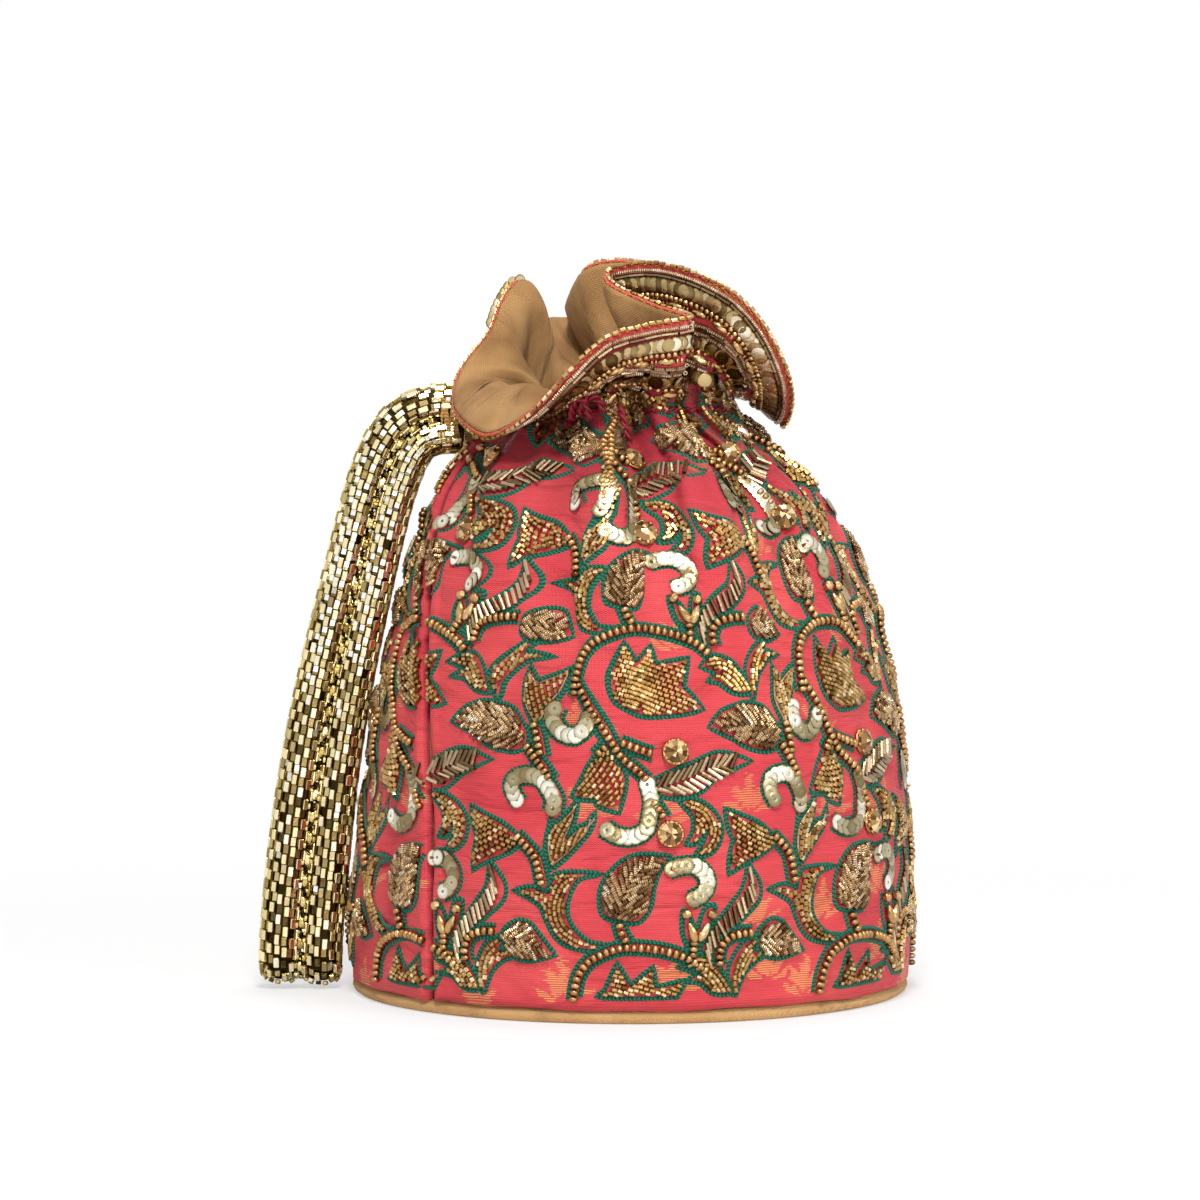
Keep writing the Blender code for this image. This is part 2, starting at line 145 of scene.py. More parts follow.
profile = through(PROFILE, 24) * MM
profile_length = lengths(profile)
NECK_V = profile_length[-1]
RIM_V = NECK_V + RUFFLE_HEIGHT
NECK_Z = profile[-1, 1]
lean = np.array(LEAN) * MM
rim = through(RIM, 24, closed=True) * np.array([MM, MM, MM, 1])
rim_length = lengths(rim[:, :3])
pleat_u = np.array([p[0] for p in PLEATS] + [0.0]) * MM
pleat_u[-1] = pleat_u[0] + GIRTH
pleat_angle = np.array([p[1] for p in PLEATS] + [PLEATS[0][1] + 360.0])
pleat_depth = np.array([p[2] for p in PLEATS]) * MM


def body(u, v):
    """The bag below the neck: a leaning surface of revolution with pleats that deepen towards the neck."""
    z = np.interp(v, profile_length, profile[:, 1])
    radius = np.interp(v, profile_length, profile[:, 0])
    around = (u - pleat_u[0]) % GIRTH + pleat_u[0]
    k = np.clip(np.searchsorted(pleat_u, around, side="right") - 1, 0, len(pleat_depth) - 1)
    t = (around - pleat_u[k]) / (pleat_u[k + 1] - pleat_u[k])
    rounded = t + PLEAT_ROUNDNESS * np.sin(4 * np.pi * t)
    at_neck = pleat_angle[k] + (pleat_angle[k + 1] - pleat_angle[k]) * rounded
    at_base = around * 360 / GIRTH
    swing = np.clip(z / NECK_Z, 0, 1) ** TWIST_POWER
    angle = np.radians(at_base + (at_neck - at_base) * swing)
    gather = np.clip((z - PLEAT_START) / (PLEAT_FULL - PLEAT_START), 0, 1) ** PLEAT_FADE
    radius = radius - pleat_depth[k] * gather * (1 - np.cos(2 * np.pi * t)) / 2
    centre = np.interp(z, lean[:, 0], lean[:, 1])
    return np.stack([centre + radius * np.sin(angle), -radius * np.cos(angle), z], -1)


def rim_point(u):
    """Place on the ruffle's edge, and how steeply the cloth rises into it."""
    share = ((u - SEAM_U + RIM_LEAD) / GIRTH) % 1.0
    return read_off(share * rim_length[-1], rim_length, rim)


def from_axis(places):
    """Unit direction level with the floor, from the neck's axis towards each place."""
    away = (places[..., :3] - np.array([lean[-1, 1], 0, 0])) * np.array([1, 1, 0])
    return away / np.linalg.norm(away, axis=-1, keepdims=True)


def cloth(u, v):
    """Middle surface of the outer cloth at u, v: the body, and above the neck a sweep out to the edge."""
    u, v = np.broadcast_arrays(np.asarray(u, float), np.asarray(v, float))
    below = body(u, np.minimum(v, NECK_V))
    neck = body(u, np.full_like(u, NECK_V))
    edge = rim_point(u)
    rise = edge[..., 3:]
    edge = edge[..., :3]
    upward = np.array([0, 0, 1.0])
    start = neck + upward * NECK_RISE + from_axis(neck) * NECK_FLARE
    arrival = from_axis(edge) * np.sqrt(np.maximum(1 - rise ** 2, 0)) + upward * rise
    span = np.linalg.norm(edge - neck, axis=-1, keepdims=True)
    end = edge - arrival * np.minimum(RIM_REACH, RIM_REACH_SHARE * span)
    t = np.clip((v - NECK_V) / RUFFLE_HEIGHT, 0, 1)[..., None]
    above = (1 - t) ** 3 * neck + 3 * (1 - t) ** 2 * t * start + 3 * (1 - t) * t ** 2 * end + t ** 3 * edge
    return np.where((v > NECK_V)[..., None], above, below)


def unit(vectors):
    return vectors / np.maximum(np.linalg.norm(vectors, axis=-1, keepdims=True), 1e-12)


def outwards(u, v):
    """Unit normal out of the bag."""
    step = 0.3 * MM
    round_way = cloth(u + step, v) - cloth(u - step, v)
    up_way = cloth(u, v + step) - cloth(u, v - step)
    return unit(np.cross(round_way, up_way))


def from_seam(u):
    """Distance along the cloth to the nearer side seam."""
    around = (u - SEAM_U) % (GIRTH / 2)
    return np.minimum(around, GIRTH / 2 - around)


def ripple(u, v):
    """How far the silk stands out or in: soft puckers, gathers at the neck, and a groove at each seam."""
    x, y = u / MM, v / MM
    neck, edge = NECK_V / MM, RIM_V / MM
    puckers = (np.sin(x / 4.3 + 1.4 * np.sin(y / 8.7)) * np.sin(y / 5.9 + 1.2 * np.sin(x / 9.1 + 0.7))
               + 0.7 * np.sin(x / 9.7 - y / 13.1 + 1.9))
    puckers = puckers * np.clip(y / 14, 0, 1) * np.clip((edge - 22 - y) / 18, 0, 1)
    gathers = np.sin(x * GATHERS * math.tau / (GIRTH / MM) + 1.1 * np.sin(x / 17) + 0.5 * np.sin(y / 9))
    gathers = gathers * np.clip((y - 98) / 62, 0, 1) ** 1.5 * np.clip((edge - 3 - y) / 26, 0, 1)
    creased = np.sin(x / 3.4 + 1.6 * np.sin(y / 6.3 + x / 31))
    creased = creased * np.clip((y - neck + 2) / 8, 0, 1) * np.clip((edge - 3 - y) / 9, 0, 1)
    aside = from_seam(u) / MM
    seam = 0.7 * np.exp(-((aside - 3.0) / 1.4) ** 2) - 1.3 * np.exp(-(aside / 1.2) ** 2)
    seam = seam * np.clip((neck - y) / 20, 0, 1)
    return (0.5 * puckers + 0.95 * gathers + 0.4 * creased + seam) * MM


def on_cloth(u, v, lift=0.0):
    """Places at a height above the rippled cloth's middle surface, and the normals there."""
    normal = outwards(u, v)
    return cloth(u, v) + normal * (ripple(u, v) + lift)[..., None], normal


# Camera, from the photograph's viewing angle
CAMERA_PLACE = (-0.00831, -1.4910, 0.1960)
CAMERA_TILT = 86.6          # degrees from straight down
camera_data = bpy.data.cameras.new("camera")
camera_data.lens = 162.45
camera_data.sensor_width = 36
camera_data.clip_end = 20
camera = bpy.data.objects.new("camera", camera_data)
camera.location = CAMERA_PLACE
camera.rotation_euler = (math.radians(CAMERA_TILT), 0, 0)
bpy.context.scene.collection.objects.link(camera)
bpy.context.scene.camera = camera


# Node trees

def connect(tree, node, inputs):
    """Joins sockets to a node's inputs, or sets values on them."""
    for key, value in dict(inputs).items():
        if isinstance(value, bpy.types.NodeSocket):
            tree.links.new(value, node.inputs[key])
        else:
            node.inputs[key].default_value = value
    return node


def add(tree, kind, inputs=(), **settings):
    """A new node with its settings and inputs."""
    node = tree.nodes.new(kind)
    for key, value in settings.items():
        setattr(node, key, value)
    return connect(tree, node, inputs)


def maths(tree, operation, *values):
    """A Math node's result."""
    return add(tree, "ShaderNodeMath", dict(enumerate(values)), operation=operation).outputs[0]


def plus(tree, first, second):
    return maths(tree, "ADD", first, second)


def times(tree, first, second):
    return maths(tree, "MULTIPLY", first, second)


def vectors(tree, operation, inputs):
    """A Vector Math node's result."""
    return add(tree, "ShaderNodeVectorMath", inputs, operation=operation).outputs[0]


def blend(tree, share, low, high):
    """A colour between two colours, each a socket or three numbers."""
    low, high = (colour if isinstance(colour, bpy.types.NodeSocket) else (*colour, 1)
                 for colour in (low, high))
    return add(tree, "ShaderNodeMix", {0: share, 6: low, 7: high}, data_type="RGBA").outputs[2]


def spread(tree, value, low, high, start=0.0, end=1.0):
    """A value taken smoothly from one range to another."""
    inputs = {"Value": value, "From Min": low, "From Max": high, "To Min": start, "To Max": end}
    return add(tree, "ShaderNodeMapRange", inputs, interpolation_type="SMOOTHSTEP").outputs[0]


def noise(tree, coords, scale, detail=2.0, **more):
    """A noise texture's value."""
    inputs = {"Vector": coords, "Scale": scale, "Detail": detail, **more}
    return add(tree, "ShaderNodeTexNoise", inputs).outputs["Fac"]


def mapped(tree, coords, **inputs):
    """Coordinates turned or scaled."""
    return add(tree, "ShaderNodeMapping", {"Vector": coords, **inputs}).outputs[0]


def split(tree, coords):
    """The outputs X, Y and Z of coordinates."""
    return add(tree, "ShaderNodeSeparateXYZ", {"Vector": coords}).outputs


def object_coords(tree):
    return add(tree, "ShaderNodeTexCoord").outputs["Object"]


def cloth_coords(tree):
    return add(tree, "ShaderNodeUVMap", uv_map="cloth").outputs["UV"]


def bead_value(tree, name):
    """A value that each bead carries."""
    return add(tree, "ShaderNodeAttribute", attribute_name=name).outputs["Fac"]


def bump(tree, height, strength, distance, normal=None):
    inputs = {"Height": height, "Strength": strength, "Distance": distance}
    if normal is not None:
        inputs["Normal"] = normal
    return add(tree, "ShaderNodeBump", inputs).outputs["Normal"]


def new_group(name, inputs, outputs):
    """A node group with its sockets, and its input and output nodes."""
    group = bpy.data.node_groups.new(name, "ShaderNodeTree")
    for label, kind, value in inputs:
        socket = group.interface.new_socket(label, in_out="INPUT", socket_type=kind)
        if value is not None:
            socket.default_value = value
    for label, kind in outputs:
        group.interface.new_socket(label, in_out="OUTPUT", socket_type=kind)
    return group, group.nodes.new("NodeGroupInput").outputs, group.nodes.new("NodeGroupOutput")


def joined(tree, group, inputs):
    """A node group's outputs in a tree."""
    return add(tree, "ShaderNodeGroup", inputs, node_tree=group).outputs


def new_material(name, preview):
    """A material, its tree and its Principled shader."""
    made = bpy.data.materials.new(name)
    made.use_nodes = True
    made.diffuse_color = (*preview, 1)
    return made, made.node_tree, made.node_tree.nodes["Principled BSDF"]


def weave_group():
    """Plain weave: crossing threads with slubs. Height for a bump, and a shade that follows the threads."""
    group, given, out = new_group("weave", [("Vector", "NodeSocketVector", None),
                                            ("Across", "NodeSocketFloat", 2500.0),
                                            ("Up", "NodeSocketFloat", 2500.0),
                                            ("Slub", "NodeSocketFloat", 0.4)],
                                  [("Height", "NodeSocketFloat"), ("Shade", "NodeSocketFloat")])
    vector = given["Vector"]
    parts = split(group, vector)
    drift = times(group, noise(group, vector, 260.0), 2.2)
    warp, weft = (maths(group, "SINE", plus(group, times(group, parts[axis], given[pitch]), drift))
                  for axis, pitch in (("X", "Across"), ("Y", "Up")))
    slubs = noise(group, mapped(group, vector, Scale=(60, 2600, 1)), 1.0, 3.0)
    thick = times(group, maths(group, "SUBTRACT", slubs, 0.5), given["Slub"])
    threads = plus(group, times(group, times(group, warp, weft), 0.42), times(group, weft, 0.2))
    height = plus(group, threads, times(group, thick, 1.5))
    connect(group, out, {"Height": plus(group, height, 0.5),
                         "Shade": plus(group, times(group, height, 0.5), 0.5)})
    return group


def tone_group():
    """Each bead's colour between dark, middle and bright from its tone, with patches of patina on it. The
    tone holds the bead's own tone and the painted shade and highlights set on its shape.
    """
    group, given, out = new_group("bead_tone", [("Dark", "NodeSocketColor", (0.1, 0.05, 0.01, 1)),
                                                ("Middle", "NodeSocketColor", (0.5, 0.3, 0.1, 1)),
                                                ("Bright", "NodeSocketColor", (0.9, 0.7, 0.4, 1)),
                                                ("Patina", "NodeSocketFloat", 0.3)],
                                  [("Color", "NodeSocketColor"), ("Mask", "NodeSocketFloat")])
    patches = noise(group, object_coords(group), 900.0, 3.0)
    worn = times(group, maths(group, "SUBTRACT", patches, 0.5), given["Patina"])
    tone = plus(group, bead_value(group, "tone"), worn)
    lower = blend(group, spread(group, tone, 0.0, 0.5), given["Dark"], given["Middle"])
    colour = blend(group, spread(group, tone, 0.5, 1.0), lower, given["Bright"])
    connect(group, out, {"Color": colour, "Mask": patches})
    return group


# Leaves of a brocade flame: x, y, turn in degrees, length and width, in shares of the flames' spacing
FLAME_LEAVES = [(-0.02, 0.08, 84, 0.28, 0.105), (-0.12, 0.0, 124, 0.24, 0.09), (0.11, 0.01, 50, 0.24, 0.09),
                (-0.20, -0.11, 154, 0.20, 0.07), (0.20, -0.10, 22, 0.22, 0.07)]


def flame_group():
    """Brocade flames: tufts of pointed leaves scattered over the cloth, hatched by their threads."""
    group, given, out = new_group("brocade_flames", [("Vector", "NodeSocketVector", None),
                                                     ("Spacing", "NodeSocketFloat", 0.034),
                                                     ("Bare", "NodeSocketFloat", 0.5)],
                                  [("Mask", "NodeSocketFloat")])
    vector = given["Vector"]
    scaled = vectors(group, "SCALE", {0: vector, "Scale": maths(group, "DIVIDE", 1.0, given["Spacing"])})
    cells = add(group, "ShaderNodeTexVoronoi", {"Vector": scaled, "Scale": 1.0, "Randomness": 0.55},
                voronoi_dimensions="2D").outputs
    local = vectors(group, "SUBTRACT", {0: scaled, 1: cells["Position"]})
    wave = add(group, "ShaderNodeTexNoise", {"Vector": vector, "Scale": 120.0, "Detail": 1.0})
    bent = vectors(group, "SUBTRACT", {0: wave.outputs["Color"], 1: (0.5, 0.5, 0.5)})
    local = vectors(group, "ADD", {0: local, 1: vectors(group, "SCALE", {0: bent, "Scale": 0.16})})
    fray = noise(group, mapped(group, vector, Scale=(40, 1900, 1)), 1.0, 1.0)
    aside = add(group, "ShaderNodeCombineXYZ", {"X": spread(group, fray, 0.2, 0.8, -0.05, 0.05)}).outputs[0]
    local = vectors(group, "ADD", {0: local, 1: aside})
    mask = 0.0
    for x, y, turn, length, width in FLAME_LEAVES:
        leaf = add(group, "ShaderNodeMapping", {"Vector": local, "Location": (x, y, 0),
                                                "Rotation": (0, 0, math.radians(turn)),
                                                "Scale": (length, width, 1)}, vector_type="TEXTURE")
        parts = split(group, leaf.outputs[0])
        along, across = (maths(group, "ABSOLUTE", parts[axis]) for axis in "XY")
        reach = plus(group, maths(group, "POWER", along, 2.0), across)
        mask = maths(group, "MAXIMUM", mask, maths(group, "LESS_THAN", reach, 0.62))
    stray = noise(group, vector, 160.0, 1.0)
    lines = plus(group, times(group, split(group, vector)["Y"], 10500.0), times(group, stray, 5.0))
    threads = spread(group, maths(group, "SINE", lines), -0.5, 0.3)
    chance = add(group, "ShaderNodeSeparateColor", {"Color": cells["Color"]}).outputs["Red"]
    woven = times(group, threads, maths(group, "GREATER_THAN", chance, given["Bare"]))
    connect(group, out, {"Mask": times(group, mask, woven)})
    return group


weave = weave_group()
bead_tone = tone_group()
brocade_flames = flame_group()


def creases(tree, coords, scale, strength):
    """Soft creases of handled cloth, as a normal."""
    folds = noise(tree, mapped(tree, coords, Scale=scale), 1.0, 3.0, Roughness=0.45, Distortion=0.6)
    return bump(tree, folds, strength, 0.007)


def brocade_silk():
    """Coral silk with gold flames, a dark line at its seams, and painted shadow of the ruffle over the
    gathers at the neck.
    """
    made, tree, shader = new_material("coral_brocade_silk", (0.80, 0.11, 0.12))
    coords = cloth_coords(tree)
    parts = split(tree, coords)
    across, height = parts["X"], parts["Y"]
    cover = joined(tree, weave, {"Vector": coords, "Across": 9000.0, "Up": 11000.0, "Slub": 0.5})
    large = noise(tree, coords, 28.0)
    ground = blend(tree, spread(tree, large, 0.3, 0.7), (0.76, 0.068, 0.079), (0.90, 0.118, 0.114))
    gaps = spread(tree, cover["Shade"], 0.3, 0.7, 0.72, 0.0)
    ground = blend(tree, gaps, ground, (0.46, 0.022, 0.045))
    bare = spread(tree, height, 0.012, 0.03, 0.1, 0.5)
    flames = joined(tree, brocade_flames, {"Vector": coords, "Spacing": 0.024, "Bare": bare})["Mask"]
    gold = blend(tree, large, (0.80, 0.30, 0.09), (0.88, 0.46, 0.17))
    colour = blend(tree, times(tree, flames, spread(tree, height, 0.01, 0.05, 0.95, 0.75)), ground, gold)
    aside = maths(tree, "PINGPONG", maths(tree, "SUBTRACT", across, SEAM_U), GIRTH / 4)
    # Painted shadow: the silk darkens towards the neck, where the ruffle hangs over it, and fades out on
    # the ruffle above.
    painted_neck_shadow = times(tree, spread(tree, height, NECK_V - 58 * MM, NECK_V - 2 * MM, 0.0, 0.68),
                   spread(tree, height, NECK_V + 3 * MM, NECK_V + 20 * MM, 1.0, 0.0))
    # The darker of the seam's dark line and the painted shadow at the neck.
    seam_line_and_painted_shadow = maths(tree, "MAXIMUM", spread(tree, aside, 0.5 * MM, 1.7 * MM, 0.75, 0.0), painted_neck_shadow)
    relief = plus(tree, cover["Height"], times(tree, flames, 0.8))
    normal = bump(tree, relief, 0.7, 0.2 * MM, creases(tree, coords, (34, 90, 1), 0.9))
    connect(tree, shader, {"Base Color": blend(tree, seam_line_and_painted_shadow, colour, (0.26, 0.012, 0.03)), "Normal": normal,
                           "Roughness": 0.55, "Specular IOR Level": 0.2, "Sheen Weight": 0.06,
                           "Sheen Roughness": 0.4})
    return made


def tan_cotton(name, low, high, gaps):
    """Plain cotton with its threads on the slant."""
    made, tree, shader = new_material(name, low)
    coords = cloth_coords(tree)
    turned = mapped(tree, coords, Rotation=(0, 0, math.radians(28)))
    cover = joined(tree, weave, {"Vector": turned, "Across": 8000.0, "Up": 12000.0, "Slub": 0.5})
    # Large blotches of darker and lighter cotton: the cloth's own uneven tone, and painted shade that
    # stands in for the lining's folds.
    colour = blend(tree, spread(tree, noise(tree, coords, 40.0, 3.0), 0.36, 0.62), low, high)
    colour = blend(tree, spread(tree, cover["Shade"], 0.25, 0.75, 0.5, 0.0), colour, gaps)
    normal = bump(tree, cover["Height"], 0.7, 0.3 * MM, creases(tree, coords, (64, 30, 1), 1.0))
    connect(tree, shader, {"Base Color": colour, "Normal": normal, "Roughness": 0.85,
                           "Specular IOR Level": 0.15, "Sheen Weight": 0.05})
    return made


def spun_thread(name, dark, light, pitch, rough=0.7):
    """Twisted or chain-stitched thread: slanting strands along the piece's own UV."""
    made, tree, shader = new_material(name, light)
    coords = cloth_coords(tree)
    parts = split(tree, coords)
    slant = plus(tree, times(tree, parts["X"], math.tau / pitch),
                 times(tree, maths(tree, "ABSOLUTE", parts["Y"]), 5000.0))
    strands = plus(tree, times(tree, maths(tree, "SINE", slant), 0.35), noise(tree, coords, 1400.0))
    connect(tree, shader, {"Base Color": blend(tree, spread(tree, strands, 0.2, 0.9), dark, light),
                           "Normal": bump(tree, strands, 0.8, 0.3 * MM), "Roughness": rough,
                           "Specular IOR Level": 0.3, "Sheen Weight": 0.1})
    return made


def bead_metal(name, dark, middle, bright, rough, patina=0.3, metallic=1.0, dents=0.15, rib=0.0):
    """Plated metal or metallic glass beads, each with its own tone and the painted shade set on its shape.
    Coiled wire has ribs at a pitch, painted darker in the grooves between them.
    """
    made, tree, shader = new_material(name, middle)
    tone = joined(tree, bead_tone, {"Dark": (*dark, 1), "Middle": (*middle, 1), "Bright": (*bright, 1),
                                    "Patina": patina})
    colour = tone["Color"]
    pits = noise(tree, object_coords(tree), 1500.0)
    normal = bump(tree, pits, dents, 0.4 * MM)
    if rib:
        wound = times(tree, bead_value(tree, "along"), math.tau / rib)
        turns = maths(tree, "SINE", plus(tree, wound, times(tree, pits, 2.5)))
        # Painted shade in the grooves between the wire's turns.
        colour = blend(tree, spread(tree, turns, -0.9, 0.2, 0.75, 0.0), colour, dark)
        normal = bump(tree, turns, 0.6, 0.2 * MM, normal)
    polish = spread(tree, tone["Mask"], 0.3, 0.7, rough * 1.35, rough * 0.7)
    connect(tree, shader, {"Base Color": colour, "Normal": normal, "Roughness": polish,
                           "Metallic": metallic})
    return made


def satin():
    made, tree, shader = new_material("crimson_satin", (0.223, 0.007, 0.026))
    fibres = noise(tree, object_coords(tree), 700.0, 3.0)
    connect(tree, shader, {"Base Color": blend(tree, fibres, (0.12, 0.003, 0.008), (0.27, 0.008, 0.02)),
                           "Normal": bump(tree, fibres, 0.4, 0.3 * MM), "Roughness": 0.4,
                           "Specular IOR Level": 0.3})
    return made


def pressed_card():
    made, tree, shader = new_material("grey_card", (0.35, 0.33, 0.30))
    coords = object_coords(tree)
    fibre = noise(tree, coords, 500.0, 5.0)
    flecks = add(tree, "ShaderNodeTexVoronoi", {"Vector": coords, "Scale": 420.0}).outputs["Distance"]
    colour = blend(tree, fibre, (0.29, 0.27, 0.24), (0.40, 0.38, 0.34))
    colour = blend(tree, spread(tree, flecks, 0.0, 0.25, 0.5, 0.0), colour, (0.2, 0.18, 0.15))
    connect(tree, shader, {"Base Color": colour, "Normal": bump(tree, fibre, 0.3, 0.4 * MM),
                           "Roughness": 0.9})
    return made


def wrapped_thread():
    """Gold thread wound round the blocks that hold the handle's ends."""
    made, tree, shader = new_material("wrapped_gold_thread", (0.55, 0.32, 0.08))
    coords = object_coords(tree)
    wound = plus(tree, times(tree, split(tree, coords)["Z"], 9000.0),
                 times(tree, noise(tree, coords, 500.0), 6.0))
    turns = maths(tree, "SINE", wound)
    colour = blend(tree, spread(tree, turns, -0.8, 0.8), (0.28, 0.10, 0.015), (0.66, 0.36, 0.08))
    connect(tree, shader, {"Base Color": colour, "Normal": bump(tree, turns, 0.8, 0.4 * MM),
                           "Roughness": 0.4, "Metallic": 0.3})
    return made


SILK = brocade_silk()
COTTON = tan_cotton("tan_cotton", (0.385, 0.20, 0.074), (0.59, 0.337, 0.135), (0.24, 0.12, 0.042))
STRIP = tan_cotton("base_cotton", (0.64, 0.375, 0.157), (0.74, 0.45, 0.192), (0.50, 0.28, 0.112))
CARD = pressed_card()
SATIN = satin()
WRAPPED = wrapped_thread()
GREEN = spun_thread("green_couching_thread", (0.0, 0.05, 0.03), (0.008, 0.20, 0.105), 1.1 * MM)
ORANGE = spun_thread("orange_stitching_thread", (0.35, 0.08, 0.01), (0.70, 0.26, 0.03), 1.2 * MM, 0.5)
PIPING = spun_thread("coral_piping", (0.55, 0.05, 0.03), (0.82, 0.16, 0.10), 0.9 * MM, 0.6)
BINDING = spun_thread("gold_binding_thread", (0.40, 0.17, 0.03), (0.82, 0.50, 0.14), 1.0 * MM, 0.4)

# Metals: colours of the darkest, the middling and the brightest bead, roughness, and depth of patina
RONDELLE = bead_metal("antique_gold_beads", (0.07, 0.03, 0.01), (0.42, 0.225, 0.085), (0.74, 0.50, 0.26),
                      0.36, 0.25)
CUT_SEED = bead_metal("cut_gold_beads", (0.15, 0.075, 0.02), (0.46, 0.285, 0.10), (0.87, 0.70, 0.43), 0.32)
COIL_WIRE = bead_metal("copper_coil_wire", (0.14, 0.065, 0.02), (0.74, 0.50, 0.26), (1.0, 0.90, 0.70),
                       0.24, 0.4, metallic=0.8, rib=0.6 * MM)
RIM_WIRE = bead_metal("copper_edge_wire", (0.20, 0.10, 0.045), (0.68, 0.45, 0.28), (0.95, 0.80, 0.62),
                      0.3, 0.4, metallic=0.8, rib=0.65 * MM)
BUGLE = bead_metal("bronze_bugles", (0.13, 0.08, 0.035), (0.52, 0.39, 0.24), (0.80, 0.68, 0.48), 0.3, 0.25)
SEQUIN = bead_metal("gold_sequins", (0.24, 0.18, 0.08), (0.50, 0.44, 0.28), (0.98, 0.95, 0.86), 0.26, 0.12)
EDGE_SEQUIN = bead_metal("edge_sequins", (0.08, 0.042, 0.012), (0.53, 0.38, 0.17), (0.90, 0.86, 0.70),
                         0.28, 0.15)
RICE = bead_metal("rose_gold_pearls", (0.15, 0.07, 0.02), (0.54, 0.33, 0.14), (0.86, 0.66, 0.40), 0.3, 0.2)
TOPAZ = bead_metal("topaz_stones", (0.10, 0.045, 0.012), (0.36, 0.19, 0.065), (0.90, 0.66, 0.34), 0.12,
                   metallic=0.6, dents=0.0)
PINK_WIRE = bead_metal("pink_silver_wire", (0.35, 0.20, 0.14), (0.76, 0.56, 0.44), (0.95, 0.85, 0.75), 0.35)
PLATE = bead_metal("polished_mesh_plates", (0.32, 0.235, 0.075), (0.90, 0.77, 0.43), (1.0, 0.96, 0.78),
                   0.18, 0.2)
# Links sit low in the mesh's holes, darker than the plates: metal links with painted shade of the holes.
LINK = bead_metal("mesh_links", (0.03, 0.018, 0.005), (0.36, 0.26, 0.10), (0.92, 0.78, 0.44), 0.28, 0.25)
GLEAM = bead_metal("mesh_gleams", (0.6, 0.55, 0.45), (1.0, 0.99, 0.96), (1.0, 1.0, 1.0), 0.3, 0.1,
                   dents=0.02)
NUGGET = bead_metal("mesh_nuggets", (0.26, 0.17, 0.04), (0.66, 0.50, 0.18), (0.97, 0.90, 0.62), 0.12)
# A near-black core inside each roll of the mesh: painted shade of the hollow roll, seen through its holes.
PAINTED_SHADE_CORE = bead_metal("mesh_core_painted_shade", (0.03, 0.018, 0.005), (0.10, 0.065, 0.02), (0.2, 0.14, 0.05), 0.45, 0.4)


# Pieces

def put(name, mesh, material, nodes=()):
    """A piece of the bag: its mesh is in place, so its object stays at the origin."""
    mesh.materials.append(material)
    piece = bpy.data.objects.new(name, mesh)
    bpy.context.scene.collection.objects.link(piece)
    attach(piece, "root")
    if nodes:
        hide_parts(*nodes)
    return piece


def sheets(name, grids, uvs, weld=False):
    """A mesh of grids of points, each with rows and columns, with UVs in metres along the cloth."""
    bm = bmesh.new()
    for points in grids:
        bmesh.ops.create_grid(bm, x_segments=points.shape[1] - 1, y_segments=points.shape[0] - 1, size=1)
    mesh = bpy.data.meshes.new(name)
    bm.to_mesh(mesh)
    bm.free()
    mesh.vertices.foreach_set("co", np.vstack([points.reshape(-1, 3) for points in grids]).ravel())
    corner = np.empty(len(mesh.loops), int)
    mesh.loops.foreach_get("vertex_index", corner)
    layer = mesh.uv_layers.new(name="cloth")
    layer.uv.foreach_set("vector", np.vstack([uv.reshape(-1, 2) for uv in uvs])[corner].ravel())
    if weld:
        bm = bmesh.new()
        bm.from_mesh(mesh)
        bmesh.ops.remove_doubles(bm, verts=bm.verts, dist=1e-7)
        bmesh.ops.recalc_face_normals(bm, faces=bm.faces)
        bm.to_mesh(mesh)
        bm.free()
    mesh.shade_smooth()
    mesh.update()
    return mesh


def tube(path, radius, sides, closed=False, upright=(0, 0, 1)):
    """A round cord's skin as a grid of points, and its UVs: along the cord and round it."""
    along = np.gradient(path, axis=0)
    if closed:
        along[0] = along[-1] = path[1] - path[-2]
    along = unit(along)
    first = np.broadcast_to(np.array(upright, float), path.shape).copy()
    first -= along * np.sum(first * along, axis=1, keepdims=True)
    first = unit(first)
    second = np.cross(along, first)
    turns = np.linspace(0, math.tau, sides + 1)
    radius = np.broadcast_to(np.asarray(radius, float), (len(path),))
    around = np.cos(turns)[:, None] * first[:, None] + np.sin(turns)[:, None] * second[:, None]
    skin = path[:, None] + radius[:, None, None] * around
    uv = np.stack(np.broadcast_arrays(lengths(path)[:, None], (turns * radius.mean())[None, :]), -1)
    return skin, uv


def spun(outline, sides, axis="X"):
    """A small turned shape, from its outline of distance along the axis and radius, in millimetres."""
    bm = bmesh.new()
    verts = [bm.verts.new((along * MM, radius * MM, 0)) for along, radius in outline]
    edges = [bm.edges.new(pair) for pair in zip(verts, verts[1:])]
    bmesh.ops.spin(bm, geom=verts + edges, axis=(1, 0, 0), cent=(0, 0, 0), angle=math.tau, steps=sides,
                   use_merge=True)
    bmesh.ops.remove_doubles(bm, verts=bm.verts, dist=1e-8)
    if axis == "Z":
        bmesh.ops.rotate(bm, verts=bm.verts, cent=(0, 0, 0), matrix=Matrix.Rotation(-math.pi / 2, 3, "Y"))
    bmesh.ops.recalc_face_normals(bm, faces=bm.faces)
    return bm


def rod(sides, radius, length):
    """A straight tube bead, its thread along X."""
    bm = bmesh.new()
    bmesh.ops.create_cone(bm, cap_ends=True, cap_tris=False, segments=sides, radius1=radius * MM,
                          radius2=radius * MM, depth=length * MM)
    bmesh.ops.rotate(bm, verts=bm.verts, cent=(0, 0, 0), matrix=Matrix.Rotation(math.pi / 2, 3, "Y"))
    return bm


